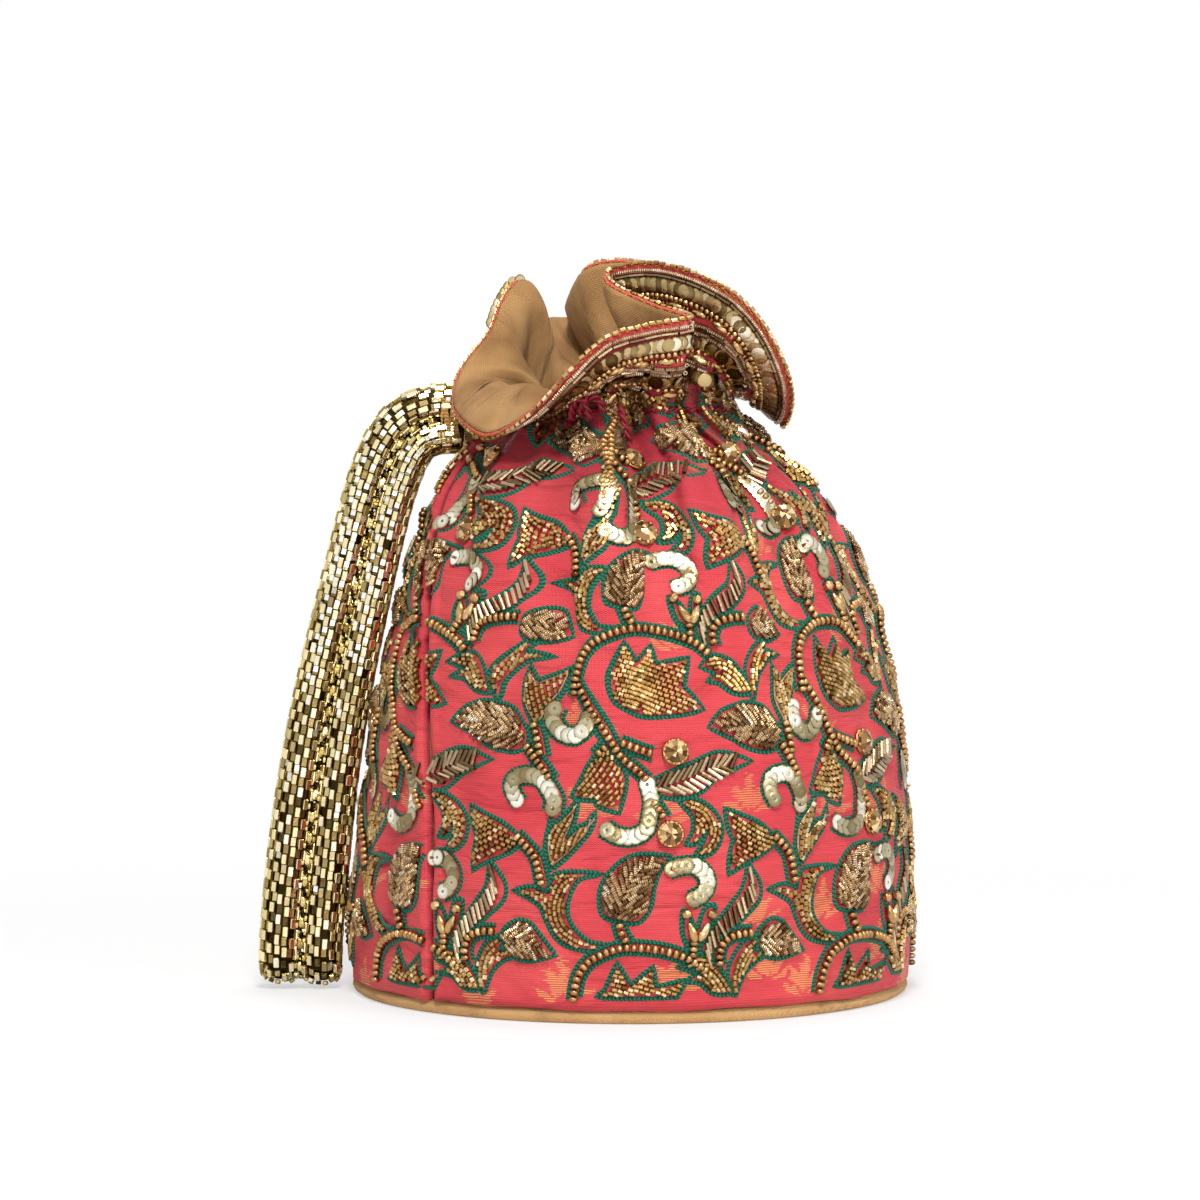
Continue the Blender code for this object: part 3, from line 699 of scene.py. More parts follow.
def pearl(length, width, pointed=0.0, fine=6):
    """A rounded bead, its thread along X. Pointed draws one end out."""
    bm = bmesh.new()
    bmesh.ops.create_uvsphere(bm, u_segments=fine + 2, v_segments=fine, radius=0.5 * MM)
    bmesh.ops.rotate(bm, verts=bm.verts, cent=(0, 0, 0), matrix=Matrix.Rotation(math.pi / 2, 3, "Y"))
    for vert in bm.verts:
        share = 1 - pointed * (vert.co.x / MM + 0.5)
        vert.co = Vector((vert.co.x * length, vert.co.y * width * share, vert.co.z * width * share))
    return bm


def block(length, width, thick, soft):
    """A plate with softened edges, its length along X and its face up Z."""
    bm = bmesh.new()
    bmesh.ops.create_cube(bm, size=1)
    bmesh.ops.scale(bm, verts=bm.verts, vec=(length * MM, width * MM, thick * MM))
    if soft:
        bmesh.ops.bevel(bm, geom=bm.edges, affect="EDGES", offset=soft * MM, segments=1, profile=0.5,
                        material=-1)
    return bm


def lining_points():
    """Points all over the lining above the shoulder, to keep the beads outside from showing through it."""
    across, up = np.meshgrid(np.linspace(SEAM_U, SEAM_U + GIRTH, 900),
                             np.linspace(NECK_V - 12 * MM, RIM_V, 60))
    place, _ = on_cloth(across, up, np.full_like(across, -CLOTH_WALL / 2 - LINING_FIT - 0.3 * MM))
    points = place.reshape(-1, 3)
    tree = KDTree(len(points))
    for index, point in enumerate(points):
        tree.insert(point, index)
    tree.balance()
    return tree


LINING_TREE = lining_points()


class Tray:
    """Beads of one kind, gathered as places and axes and then set in one mesh."""

    def __init__(self, name, shape, material, slot, smooth=True, shade=None):
        self.name, self.material, self.slot = name, material, slot
        self.smooth, self.shade = smooth, shade
        self.shape = bpy.data.meshes.new(name + "_shape")
        shape.to_mesh(self.shape)
        shape.free()
        self.rows = []

    def lay(self, places, threads, normals, size=(1, 1, 1), tone=None, jitter=0.16):
        """Adds beads: thread is the bead's X and normal its Z."""
        count = len(places)
        if count == 0:
            return
        size = np.broadcast_to(np.asarray(size, float), (count, 3))
        middle = np.full(count, 0.5) if tone is None else np.broadcast_to(tone, (count,))
        tones = np.clip(middle + shuffle.normal(0, jitter, count), 0, 1)
        self.rows.append(np.hstack([places, threads, normals, size, tones[:, None]]))

    def set(self, nodes=()):
        """One mesh of all the beads."""
        rows = np.vstack(self.rows)
        near = [row[2] > NECK_Z - 12 * MM and LINING_TREE.find(row[:3])[2] < 1.6 * MM for row in rows]
        rows = rows[~np.array(near)]
        places, threads, normals, size, tones = np.split(rows, (3, 6, 9, 12), axis=1)
        threads = unit(threads)
        normals = unit(normals - threads * np.sum(normals * threads, axis=1, keepdims=True))
        axes = np.stack([threads, np.cross(normals, threads), normals], 1) * size[:, :, None]
        source = self.shape
        corners = np.empty(len(source.vertices) * 3)
        source.vertices.foreach_get("co", corners)
        corners = corners.reshape(-1, 3)
        loops = np.empty(len(source.loops), int)
        source.loops.foreach_get("vertex_index", loops)
        starts = np.empty(len(source.polygons), int)
        source.polygons.foreach_get("loop_start", starts)
        order = np.arange(len(rows))[:, None]
        mesh = bpy.data.meshes.new(self.name)
        mesh.vertices.add(len(rows) * len(corners))
        mesh.vertices.foreach_set("co", (np.einsum("ki,nij->nkj", corners, axes) + places[:, None]).ravel())
        mesh.loops.add(len(rows) * len(loops))
        mesh.loops.foreach_set("vertex_index", (loops + order * len(corners)).ravel())
        mesh.polygons.add(len(rows) * len(starts))
        mesh.polygons.foreach_set("loop_start", (starts + order * len(loops)).ravel())
        mesh.update(calc_edges=True)
        mesh.validate()
        # Painted shade and highlights on the corners of each bead, from its shape's shade, added to its
        # tone.
        worn = np.zeros(len(corners)) if self.shade is None else self.shade(corners / MM)
        tone = mesh.attributes.new("tone", "FLOAT", "POINT")
        tone.data.foreach_set("value", np.clip(tones + worn, 0, 1).ravel())
        along = mesh.attributes.new("along", "FLOAT", "POINT")
        along.data.foreach_set("value", (size[:, :1] * corners[:, 0]).ravel())
        if self.smooth:
            mesh.shade_smooth()
            mesh.set_sharp_from_angle(angle=math.radians(42))
        else:
            mesh.shade_flat()
        return put(self.name, mesh, self.material, nodes)


# Handle: a strap of bead mesh, doubled, hanging from the neck

def strap_path():
    """Stations of the strap, down the front and up the back: place, width way and thickness way."""
    curve = through(STRAP_ROUTE, 6) * MM
    travelled = lengths(curve)
    along = unit(np.gradient(curve, axis=0))
    settle = np.clip(travelled / STRAP_FALL, 0, 1)
    settle = settle * settle * (3 - 2 * settle)
    depth = STRAP_START_Y + (STRAP_HANG_Y - STRAP_START_Y) * settle
    front, back = [], []
    for (x, z), (dx, dz), y in zip(curve, along, depth):
        width_way = np.array([dz, 0, -dx])
        front.append((np.array([x, y, z]), width_way, np.array([0, -1.0, 0])))
        back.append((np.array([x, y + STRAP_LAYERS, z]), width_way, np.array([0, 1.0, 0])))
    bend = []
    radius = STRAP_LAYERS / 2
    middle = (front[-1][0] + back[-1][0]) / 2
    for step in range(1, STRAP_BEND_STEPS):
        angle = math.pi * step / STRAP_BEND_STEPS
        out = np.array([0, -math.cos(angle), -math.sin(angle)])
        bend.append((middle + radius * out, front[-1][1], out))
    return [np.array(part) for part in zip(*(front + bend + back[::-1]))]


strap_line, strap_across, strap_out = strap_path()
strap_length = lengths(strap_line)


def on_strap(along, across, out):
    """Places on the strap, from the distance along it and the offsets in its width and thickness."""
    line, width_way, out_way = (read_off(along, strap_length, part)
                                for part in (strap_line, strap_across, strap_out))
    return line + unit(width_way) * across[..., None] + unit(out_way) * out[..., None]


def roll_place(along, side, angle, inset):
    """A place on one of the strap's two rolls, and the normal there."""
    down = 1 - np.abs(2 * along / strap_length[-1] - 1)
    slack = 1 + SLACK * np.clip((down - 0.3) / 0.5, 0, 1)
    across = side * ROLL_CENTRE * slack + (ROLL * slack - inset) * np.cos(angle)
    out = (STRAP_THICKNESS / 2 - inset) * np.sin(angle)
    place = on_strap(along, across, out)
    beyond = on_strap(along, across + MM * np.cos(angle), out + 1.25 * MM * np.sin(angle))
    return place, unit(beyond - place)


def make_handle():
    stops = np.linspace(0, strap_length[-1], 150)
    grids, uvs = [], []
    for side in (1, -1):
        turns = np.linspace(0, math.tau, 15)
        along, angle = np.meshgrid(stops, turns, indexing="ij")
        place, _ = roll_place(along, side, angle, 0.75 * MM)
        grids.append(place)
        uvs.append(np.stack([along, angle * ROLL], -1))
    # The core is a dark sheet just under the plates: painted shade of the hollow rolls.
    core = put("handle_core", sheets("handle_core", grids, uvs, weld=True), PAINTED_SHADE_CORE,
               ["handle"])

    # Plates painted lighter on their face and darker on their bevelled sides: painted highlight and shade.
    plates = Tray("handle_plates", block(2.85, 1.5, 1.2, 0.2), PLATE, "gold_bead_mesh", smooth=False,
                  shade=lambda co: np.where(co[:, 2] > 0.5, 0.12, -0.4))
    # Links between the plates, darker than them: metal links and painted shade of the holes.
    links = Tray("handle_links", block(2.3, 1.3, 0.5, 0.0), LINK, "gold_bead_mesh", smooth=False)
    gleams = Tray("handle_gleams", block(1.6, 1.3, 0.5, 0.0), GLEAM, "gold_bead_mesh", smooth=False)
    nuggets = Tray("handle_nuggets", pearl(2.6, 1.7, fine=4), NUGGET, "gold_bead_mesh")
    for side in (1, -1):
        for k in range(MESH_COLUMNS):
            angle = math.tau * k / MESH_COLUMNS + 0.26
            if math.cos(angle) * side < -0.93:
                continue
            drift = 0.28 * (side * ROLL_CENTRE + ROLL * math.cos(angle))
            start = (k % 2) * MESH_PITCH / 2 - drift
            for tray, shift, inset in ((plates, 0.0, 0.0), (links, MESH_PITCH / 2, 0.85 * MM),
                                       (gleams, MESH_PITCH / 2 - 0.45 * MM, 0.6 * MM)):
                along = np.arange(start + shift, strap_length[-1], MESH_PITCH)
                along = along[(along > 1.5 * MM) & (along < strap_length[-1] - 1.5 * MM)]
                if tray is gleams:
                    seen = np.interp(along / MM, [6, 14, 72, 92], [0.25, 0.85, 0.85, 0.08])
                    along = along[shuffle.random(len(along)) < seen]
                angles = np.full_like(along, angle)
                place, normal = roll_place(along, side, angles, inset)
                ahead, _ = roll_place(along + 0.5 * MM, side, angles, inset)
                tray.lay(place, unit(ahead - place), normal, jitter=0.34 if tray is links else 0.24)
    for face in (1, -1):
        for step, across, size in ((5.9, 0.0, (1.35, 1.3, 1.3)), (2.2, -1.15, (0.8, 0.8, 0.9)),
                                   (2.2, 1.15, (0.8, 0.8, 0.9))):
            along = np.arange(2.5 * MM, strap_length[-1] - 2 * MM, step * MM)
            along = along + shuffle.normal(0, 0.2 * MM, len(along))
            offset = np.full_like(along, across * MM)
            height = np.full_like(along, face * 1.35 * MM)
            place = on_strap(along, offset, height)
            ahead = on_strap(along + 0.5 * MM, offset, height)
            normal = on_strap(along, offset, height * 2) - place
            nuggets.lay(place, unit(ahead - place), unit(normal), size, jitter=0.25)
    worn = [plates.set(), links.set(), gleams.set(), nuggets.set()]


def make_binding():
    """Gold thread that binds the handle's ends to the neck, wound loosely over them."""
    grids, uvs = [], []
    for turn in range(18):
        along = (1.0 + 0.3 * turn + shuffle.uniform(-0.3, 0.3)) * MM
        slant = shuffle.uniform(-1.6, 1.6) * MM
        angle = np.linspace(0, math.tau, 25)
        across = (STRAP_WIDTH / 2 - 0.3 * MM) * np.cos(angle)
        out = (STRAP_THICKNESS / 2 + shuffle.uniform(-0.2, 0.5) * MM) * np.sin(angle)
        for start in (0.0, strap_length[-1] - 12 * MM):
            line = on_strap(start + along + slant * np.cos(angle), across, out)
            skin, uv = tube(line, 0.22 * MM, 4, closed=True, upright=(0.4, 0.2, 1))
            grids.append(skin)
            uvs.append(uv)
    put("handle_binding", sheets("handle_binding", grids, uvs, weld=True), BINDING)


make_handle()
make_binding()


# Cloth

def cloth_grid(u, v, lift):
    """Points of a cloth layer over all u and v, with UVs along the cloth."""
    across, up = np.meshgrid(u, v)
    place, _ = on_cloth(across, up, np.full_like(across, lift))
    return place, np.stack([across, up], -1)


# Loops of the drawstring under the front of the ruffle: x, y, z
LOOPS = [[(-13.5, -33, 159), (-13, -35.8, 162.2), (-10.7, -37.2, 164.2), (-8.4, -37, 163.2),
          (-7.5, -35.5, 160)],
         [(-16, -32, 158), (-15.6, -35.5, 161.5), (-14, -36.8, 163.8), (-12, -36.2, 162), (-11, -34, 158)],
         [(-3, -33.5, 162), (-2.2, -35.5, 158.5), (-1, -36, 155), (-0.6, -35.6, 152.5)]]


def thicken(piece, thickness):
    """Gives a sheet its thickness, half to each side."""
    wall = piece.modifiers.new("wall", "SOLIDIFY")
    wall.thickness = thickness
    wall.offset = 0
    wall.use_quality_normals = True


def cloth_rows(below, above):
    """Heights of a layer's rows: some below the neck and some above it."""
    return np.concatenate([np.linspace(0, NECK_V, below, endpoint=False),
                           np.linspace(NECK_V, RIM_V, above)])


def make_cloth():
    gap = 0.25 * MM
    for name, start in (("silk_front", SEAM_U), ("silk_back", SEAM_U + GIRTH / 2)):
        near, far = start + 5 * MM, start + GIRTH / 2 - 5 * MM
        u = np.concatenate([np.linspace(start + gap, near, 9, endpoint=False), np.linspace(near, far, 163),
                            np.linspace(far, start + GIRTH / 2 - gap, 10)[1:]])
        place, uv = cloth_grid(u, cloth_rows(70, 27), 0.1 * MM)
        place[0, :, 2] -= (0.5 + 0.35 * np.sin(u / (6.3 * MM)) * np.sin(u / (14 * MM))) * MM
        node = "front_panel" if name == "silk_front" else "back_panel"
        piece = put(name, sheets(name, [place], [uv]), SILK, [node])
        thicken(piece, 0.5 * MM)
    u = np.linspace(SEAM_U, SEAM_U + GIRTH, 261)
    place, uv = cloth_grid(u, cloth_rows(24, 27), -CLOTH_WALL / 2 - LINING_FIT - 0.1 * MM)
    piece = put("lining_cloth", sheets("lining_cloth", [place], [uv], weld=True), COTTON,
                ["lining"])
    thicken(piece, LINING_WALL * 0.7)


def cloth_mesh(name, bm, place):
    """A mesh from a shape, with a place along the cloth for each of its corners."""
    layer = bm.loops.layers.uv.new("cloth")
    for face in bm.faces:
        for loop in face.loops:
            loop[layer].uv = place(loop.vert.co)
    mesh = bpy.data.meshes.new(name)
    bm.to_mesh(mesh)
    bm.free()
    return mesh


def make_base():
    """The base's cloth cover, a shallow pan with a rolled edge, and the lining's round bottom."""
    r, h = BASE_RADIUS / MM, BASE_HEIGHT / MM
    outline = [(0, 0), (0, r - 2.4), (0.2, r - 1.4), (0.8, r - 0.6), (1.6, r - 0.2), (2.3, r - 0.3),
               (2.9, r - 0.9), (h, r - 1.2), (h - 0.5, r - 1.5), (1.0, r - 1.6), (0.8, r - 2.2), (0.8, 0)]
    mesh = cloth_mesh("base_cover_cloth", spun(outline, 128, "Z"), lambda co: (co.x, co.y + co.z))
    mesh.shade_smooth()
    put("base_cover_cloth", mesh, STRIP, ["base_cover"])

    bm = bmesh.new()
    bmesh.ops.create_circle(bm, cap_ends=True, segments=96, radius=BOTTOM_RADIUS)
    bmesh.ops.inset_region(bm, faces=bm.faces, thickness=3 * MM)
    bmesh.ops.translate(bm, verts=bm.verts, vec=(0, 0, 3.7 * MM))
    mesh = cloth_mesh("lining_bottom", bm, lambda co: co.xy)
    piece = put("lining_bottom", mesh, COTTON, ["lining_base"])
    thicken(piece, 0.5 * MM)


def satin_cord(path, radius, closed=False, upright=(0, 0, 1)):
    """A cord twisted from two satin strands along a path, as grids of points and their UVs."""
    grids, uvs = [], []
    along = unit(np.gradient(path, axis=0))
    first = unit(np.cross(along, np.array(upright, float)))
    second = np.cross(first, along)
    travelled = lengths(path)
    turns = max(1, round(travelled[-1] / (5.5 * MM)))
    for start in (0, math.pi):
        wind = travelled / travelled[-1] * turns * math.tau + start
        line = path + radius * 0.5 * (np.cos(wind)[:, None] * first + np.sin(wind)[:, None] * second)
        skin, uv = tube(line, radius * 0.62, 6, closed=closed, upright=upright)
        grids.append(skin)
        uvs.append(uv)
    return grids, uvs


def make_drawstring():
    """The cord lies in the neck's folds, and loops of it hang out under the front of the ruffle."""
    u = np.linspace(SEAM_U, SEAM_U + GIRTH, 420)
    path, _ = on_cloth(u, np.full_like(u, NECK_V - CORD_BELOW_NECK), np.full_like(u, 0.5 * MM))
    grids, uvs = satin_cord(path, 0.9 * MM, closed=True)
    for loop in LOOPS:
        more, more_uvs = satin_cord(through(loop, 10) * MM, 1.0 * MM, upright=(0, 1, 0))
        grids += more
        uvs += more_uvs
    put("drawstring_cord", sheets("drawstring_cord", grids, uvs, weld=True), SATIN,
        ["drawstring"])


make_base()
make_drawstring()
make_cloth()


# Embroidery: the repeat of the vine, in millimetres of u and v. A third number of 1 marks a sharp corner.

REPEAT_U = GIRTH / MM / 7
REPEAT_V = 85.0
STEMS = [
    [(-16, -3), (-15.5, 2), (-14.5, 8), (-12, 12), (-9, 14), (-4, 16), (1.5, 16.2), (7.5, 15.5),
     (13, 13.8), (17.5, 11.3), (21, 8.2)],
    [(3, 60), (0, 62.5), (-4.5, 66), (-7, 70), (-9, 74), (-11, 78), (-13, 82), (-15, 85.5)],
    [(-5, 70), (0, 68.3), (4.5, 67)],
    [(4.5, 55), (7.5, 50)],
    [(-8, 69), (-10, 66.5)],
    [(-1.5, 17.5), (-3, 19.5), (-4, 23)],
    [(23, 11), (22.7, 14), (24, 17.5), (27.5, 19.2), (32, 19.5)],
    [(15.5, 13.5), (15.7, 18)],
    [(-31.5, 45), (-29, 43), (-26, 40), (-25, 37), (-24.5, 34.5), (-24, 32)],
    [(-28, 69), (-26, 66.5), (-24, 63.5), (-22, 60)],
    [(-25.5, 75), (-25, 72.5), (-24.5, 70), (-24, 66)],
]
GREEN_VINES = [[(-22, 60), (-21, 54), (-22.5, 48), (-23.5, 42), (-22, 36.7)]]
SEED_LEAVES = [
    ([(-4.2, 96.8, 1), (-0.5, 91, 1), (5.1, 95.8, 1), (6, 90.5, 1), (14, 92.3, 1), (11.7, 84.8, 1),
      (17.8, 78.9, 1), (10.5, 77.4), (1.7, 77), (-3.7, 79), (-6.6, 81.5), (-7.6, 86), (-7, 90)],
     [[(-9, 90), (4, 86.5), (19, 80)]]),
    ([(-31.5, 30.5, 1), (-27.5, 31.5), (-24.9, 30.8), (-22.7, 30, 1), (-21.8, 33.5), (-19.2, 35.5),
      (-9.2, 35.5, 1), (-14.5, 34.3), (-17, 31), (-18, 27), (-17.5, 23.2), (-14.9, 19.6), (-11.4, 17.2),
      (-7.5, 16.8, 1), (-11.4, 15.4), (-17.1, 16.4), (-20.5, 18.7), (-23.1, 23.2), (-24.9, 26.8),
      (-28.3, 29.1)],
     [[(-7.5, 16.1), (-14, 17.4), (-18.8, 20.5), (-20.8, 25), (-20.3, 29.5), (-17.5, 33.6),
      (-9.2, 35.5)], [(-21.5, 26), (-24.5, 29.4), (-31.5, 30.5)]]),
    ([(-44.9, 52, 1), (-40.7, 50.3), (-36, 48.3), (-32.3, 45.6), (-30.5, 43.7), (-32.5, 41.3),
      (-37, 39), (-41.5, 37), (-44, 35.5, 1), (-43.8, 39.2), (-42.7, 44.2, 1), (-44, 47.4)],
     [[(-30.5, 43.7), (-37, 46.2), (-44.9, 52)], [(-30.5, 43.7), (-37, 41.2), (-44, 35.5)]]),
    ([(-8, 68.5), (-11.5, 64.5), (-14.5, 59.5), (-16.6, 55.8, 1), (-13, 55), (-10.4, 55.3, 1),
      (-9.5, 53.2), (-5.1, 51.8, 1), (-3.8, 57), (-3.6, 61), (-5.8, 65.3)],
     [[(-8, 68.5), (-11, 62), (-16.6, 55.8)], [(-8, 68.5), (-6.8, 60), (-5.1, 51.8)]]),
    ([(10.9, 55.3, 1), (16.5, 54.4), (21, 51.4), (23, 47.2), (22, 43), (19.3, 40.6), (15.6, 40.3, 1),
      (18.5, 44.2), (19, 47.3, 1), (17.5, 45.5), (15.3, 43.5), (13.3, 43.4, 1), (14.9, 46.4),
      (14.9, 50.3), (12.6, 53.2)],
     [[(10.9, 55.3), (18, 52.5), (21, 47.5), (19.5, 43), (15.6, 40.3)], [(12.6, 53.2), (15.6, 49.5),
      (16, 46), (13.3, 43.4)]]),
]
COIL_LEAVES = [
    ([(-49, 74, 1), (-45.2, 78), (-40.8, 79.6), (-37.2, 80), (-32.3, 78.5), (-29.7, 75.6), (-27.9, 72),
      (-28.8, 68.8), (-32.3, 67.2), (-37.8, 68.2), (-43, 71.1)],
     [[(-27.9, 72), (-38, 74), (-49, 74)]]),
    ([(8.7, 40, 1), (3.2, 40.5), (-2, 39.7), (-5.8, 36.8), (-8.4, 32.6), (-9, 28.5), (-8, 24.7),
      (-4.6, 23.4), (1, 23), (4, 26.7), (4.8, 31.7), (6.2, 36.3)],
     [[(-4.6, 23.4), (-2.5, 31), (2, 37), (8.7, 40)]]),
    ([(34, 19.5), (37.9, 22.4), (41.5, 21.6), (44.5, 18.4), (48, 14, 1), (41.5, 12.3), (36.5, 13.3),
      (34, 15.7)],
     [[(34, 18), (40, 17.5), (48, 14)]]),
]
BUGLE_LEAVES = [
    ([(30.5, 37.5, 1), (34.2, 32.3), (33.9, 28), (29.8, 24), (26.2, 21), (22.6, 18), (20.8, 14.8),
      (19.9, 10.7, 1), (18.1, 15.6), (19.5, 18.9), (22.6, 23), (26, 27.2), (29.2, 31.4)],
     [([(19.9, 12.5), (20.2, 17), (24.2, 22), (29, 26.5), (31.8, 31), (30.8, 35.5)], 108)]),
    ([(3.7, 58.5), (6.2, 60.8), (12.4, 63.5), (19.1, 66.3), (24, 67), (31, 64.7, 1), (22, 61),
      (18, 57.8), (15, 56.3), (11.2, 55.3), (6.2, 56.4)],
     [([(6, 59.7), (12, 61.6), (19, 64.4), (27, 65)], 62), ([(6.5, 57.6), (12, 57.7), (19, 60.8),
      (25, 63)], -22)]),
]
WIRE_PODS = [
    ([(-22, 36.7, 1), (-23, 41.5), (-22.2, 46.6), (-18.1, 50.9), (-15.2, 54.6, 1), (-16.3, 49.1),
      (-18.6, 44, 1), (-15, 47.4), (-12.4, 48.5), (-10.8, 50.9, 1), (-12.1, 46.6), (-15.9, 42.3),
      (-19.5, 38.8)],
     [[(-22, 37.5), (-21.3, 43), (-19.2, 48), (-15.2, 54.6)], [(-21.5, 38), (-18.3, 41.5), (-14.3, 46),
      (-10.8, 50.9)]]),
    ([(-25.4, 74.3, 1), (-28.3, 80.2), (-27.9, 86.6), (-27.5, 89.6, 1), (-24.2, 85.8, 1), (-21.3, 87.5),
      (-17.5, 89.6, 1), (-18.8, 84.6), (-21.3, 80.2), (-23.4, 76)],
     [[(-25.4, 75.3), (-26.4, 81), (-27.5, 89.6)], [(-25, 75.3), (-22.5, 81), (-17.5, 89.6)]]),
]
SPROUTS = [
    ([(-51.3, 90, 1), (-47, 93), (-42.6, 91.5), (-39.6, 88), (-37.2, 83), (-42, 83), (-45.5, 85.7),
      (-48.8, 86.2, 1), (-45.9, 88.4, 1)],
     [[(-37.8, 83.6), (-41, 88), (-44.8, 90.7), (-51.3, 90)], [(-37.8, 83.6), (-42, 85),
      (-48.8, 86.2)]]),
    ([(-36, 81.3), (-37.8, 88), (-36, 93.2), (-32.8, 96.4), (-29, 97.5, 1), (-31.5, 93.2, 1),
      (-28.7, 93.8), (-24, 92.6, 1), (-29, 91.5), (-33, 88.4), (-34.8, 84.8)],
     [[(-36, 82), (-36.3, 88), (-34, 93.5), (-29, 97.5)], [(-35.5, 84), (-33.3, 89.5), (-29, 92.4),
      (-24, 92.6)]]),
]
CURLS = [
    [(-30.5, 53.5), (-32.5, 57), (-31.5, 60), (-27.5, 61), (-24, 60), (-22, 57), (-21, 54.5),
     (-21.5, 51.5)],
    [(14.5, 28.5), (17.5, 30), (19, 32.5), (18.5, 35), (15.5, 37.5), (11.5, 37.5), (8.7, 36.5)],
    [(-8.5, 47.5), (-5, 45.5), (-1, 45.3), (2.5, 47), (3.5, 50), (4, 55), (2.5, 60)],
    [(-20.5, 79.5), (-21.5, 76), (-19.5, 72.5), (-16, 71.5), (-13, 73.5), (-11.5, 77)],
]
STONES = [(10, 67.5), (9, 46)]
BUDS = [((13.5, 25), (14.5, 21.6), (15.5, 18.8)), ((20.2, 24.7), (18.7, 21.3), (17.6, 19.3))]
BUD_EDGES = [
    [(15, 14.5), (12.6, 17.5), (11.6, 21.5), (12, 26.5), (14, 24.5), (16.3, 21), (18.7, 26.5),
     (22.3, 27.5), (21.6, 22.5), (19.8, 18.5), (16.5, 14.5)],
]
EASE_V = [(86, 0), (110, 10), (130, 14), (145, 20), (170, 22)]
EASE_U = [(-80, 0), (-79, 0.7), (-55, 1), (-28, 1), (-15, 0.55), (-8, 0), (14, -0.3), (34, 0)]
SINK_V = [(92, 0), (115, -3), (130, -5), (150, -4), (168, 0)]
FRONT_SHARE = [(-85, 0), (-60, 1), (60, 1), (85, 0)]
TOP_EDGE = NECK_V / MM + 4
LOW_EDGE = 2.0


def table(pairs, value):
    """A value read off a short table of pairs."""
    return np.interp(value, [p[0] for p in pairs], [p[1] for p in pairs])


def drawn_on(points):
    """Pattern points as drawn on the gathered cloth, where the front was pulled sideways below the neck."""
    points = np.asarray(points, float)
    u, v = points[..., 0], points[..., 1]
    return np.stack([u + table(EASE_V, v) * table(EASE_U, u),
                     v + table(SINK_V, v) * table(FRONT_SHARE, u)], -1)


def within(points):
    """Which of the drawn points lie on a panel, clear of its seams and edges."""
    u, v = points[..., 0], points[..., 1]
    return (v > LOW_EDGE) & (v < TOP_EDGE) & (from_seam(u * MM) > 1.6 * MM)


def dense_edge(edge, steps=5):
    """A leaf's closed outline: smooth between its sharp corners."""
    points = [tuple(p[:2]) for p in edge]
    sharp = [i for i, p in enumerate(edge) if len(p) == 3]
    runs = []
    for i, start in enumerate(sharp):
        stop = sharp[(i + 1) % len(sharp)]
        count = (stop - start) % len(points) or len(points)
        run = [points[(start + k) % len(points)] for k in range(count + 1)]
        runs.append(through(run, steps)[:-1])
    return np.vstack(runs)


def offset_edge(loop, distance):
    """A closed outline moved outwards, drawn out at sharp corners, and its side directions."""
    before = unit(loop - np.roll(loop, 1, 0))
    after = unit(np.roll(loop, -1, 0) - loop)
    area = np.sum(loop[:, 0] * np.roll(loop[:, 1], -1) - np.roll(loop[:, 0], -1) * loop[:, 1])
    turn = 1 if area < 0 else -1
    side_a = np.stack([-before[:, 1], before[:, 0]], 1) * turn
    side_b = np.stack([-after[:, 1], after[:, 0]], 1) * turn
    side = unit(side_a + side_b)
    reach = 1 / np.maximum(np.sum(side * side_a, axis=1), 0.3)
    return loop + side * distance * reach[:, None], side


def inside(points, loop):
    """Which points lie in a closed outline."""
    x, y = points[:, 0][:, None], points[:, 1][:, None]
    ax, ay = loop[:, 0], loop[:, 1]
    bx, by = np.roll(ax, -1), np.roll(ay, -1)
    crossing = ((ay > y) != (by > y)) & (x < (bx - ax) * (y - ay) / np.where(by == ay, 1e-9, by - ay) + ax)
    return np.sum(crossing, axis=1) % 2 == 1


def clearance(points, loop):
    """Distance from each point to a closed outline."""
    a = loop
    b = np.roll(loop, -1, 0)
    edge = b - a
    share = np.sum((points[:, None] - a) * edge, axis=2) / np.maximum(np.sum(edge * edge, axis=1), 1e-12)
    nearest = a + np.clip(share, 0, 1)[..., None] * edge
    return np.linalg.norm(points[:, None] - nearest, axis=2).min(axis=1)


def seat(points, direction, lift):
    """Bead seats, for drawn points and directions in u and v: place, thread direction and normal."""
    u, v = points[:, 0] * MM, points[:, 1] * MM
    step = unit(direction) * 0.4 * MM
    place, normal = on_cloth(u, v, np.broadcast_to(np.asarray(lift, float), u.shape) + SILK_FACE)
    thread = cloth(u + step[:, 0], v + step[:, 1]) - cloth(u - step[:, 0], v - step[:, 1])
    thread = unit(thread - normal * np.sum(thread * normal, axis=1, keepdims=True))
    return place, thread, normal


def strung(line, pitch):
    """Drawn points every pitch along a line, measured on the cloth, with their directions."""
    fine = drawn_on(through(line, 10))
    travelled = lengths(cloth(fine[:, 0] * MM, fine[:, 1] * MM)) / MM
    if travelled[-1] < pitch:
        return np.empty((0, 2)), np.empty((0, 2))
    count = max(1, round(travelled[-1] / pitch))
    return passing((np.arange(count) + 0.5) * travelled[-1] / count, travelled, fine)


def thinned(places, room):
    """Indices of the places kept so that no two are closer than room."""
    kept = []
    for i, place in enumerate(places):
        if not kept or np.min(np.sum((places[kept] - place) ** 2, axis=1)) > room * room:
            kept.append(i)
    return np.array(kept, int)


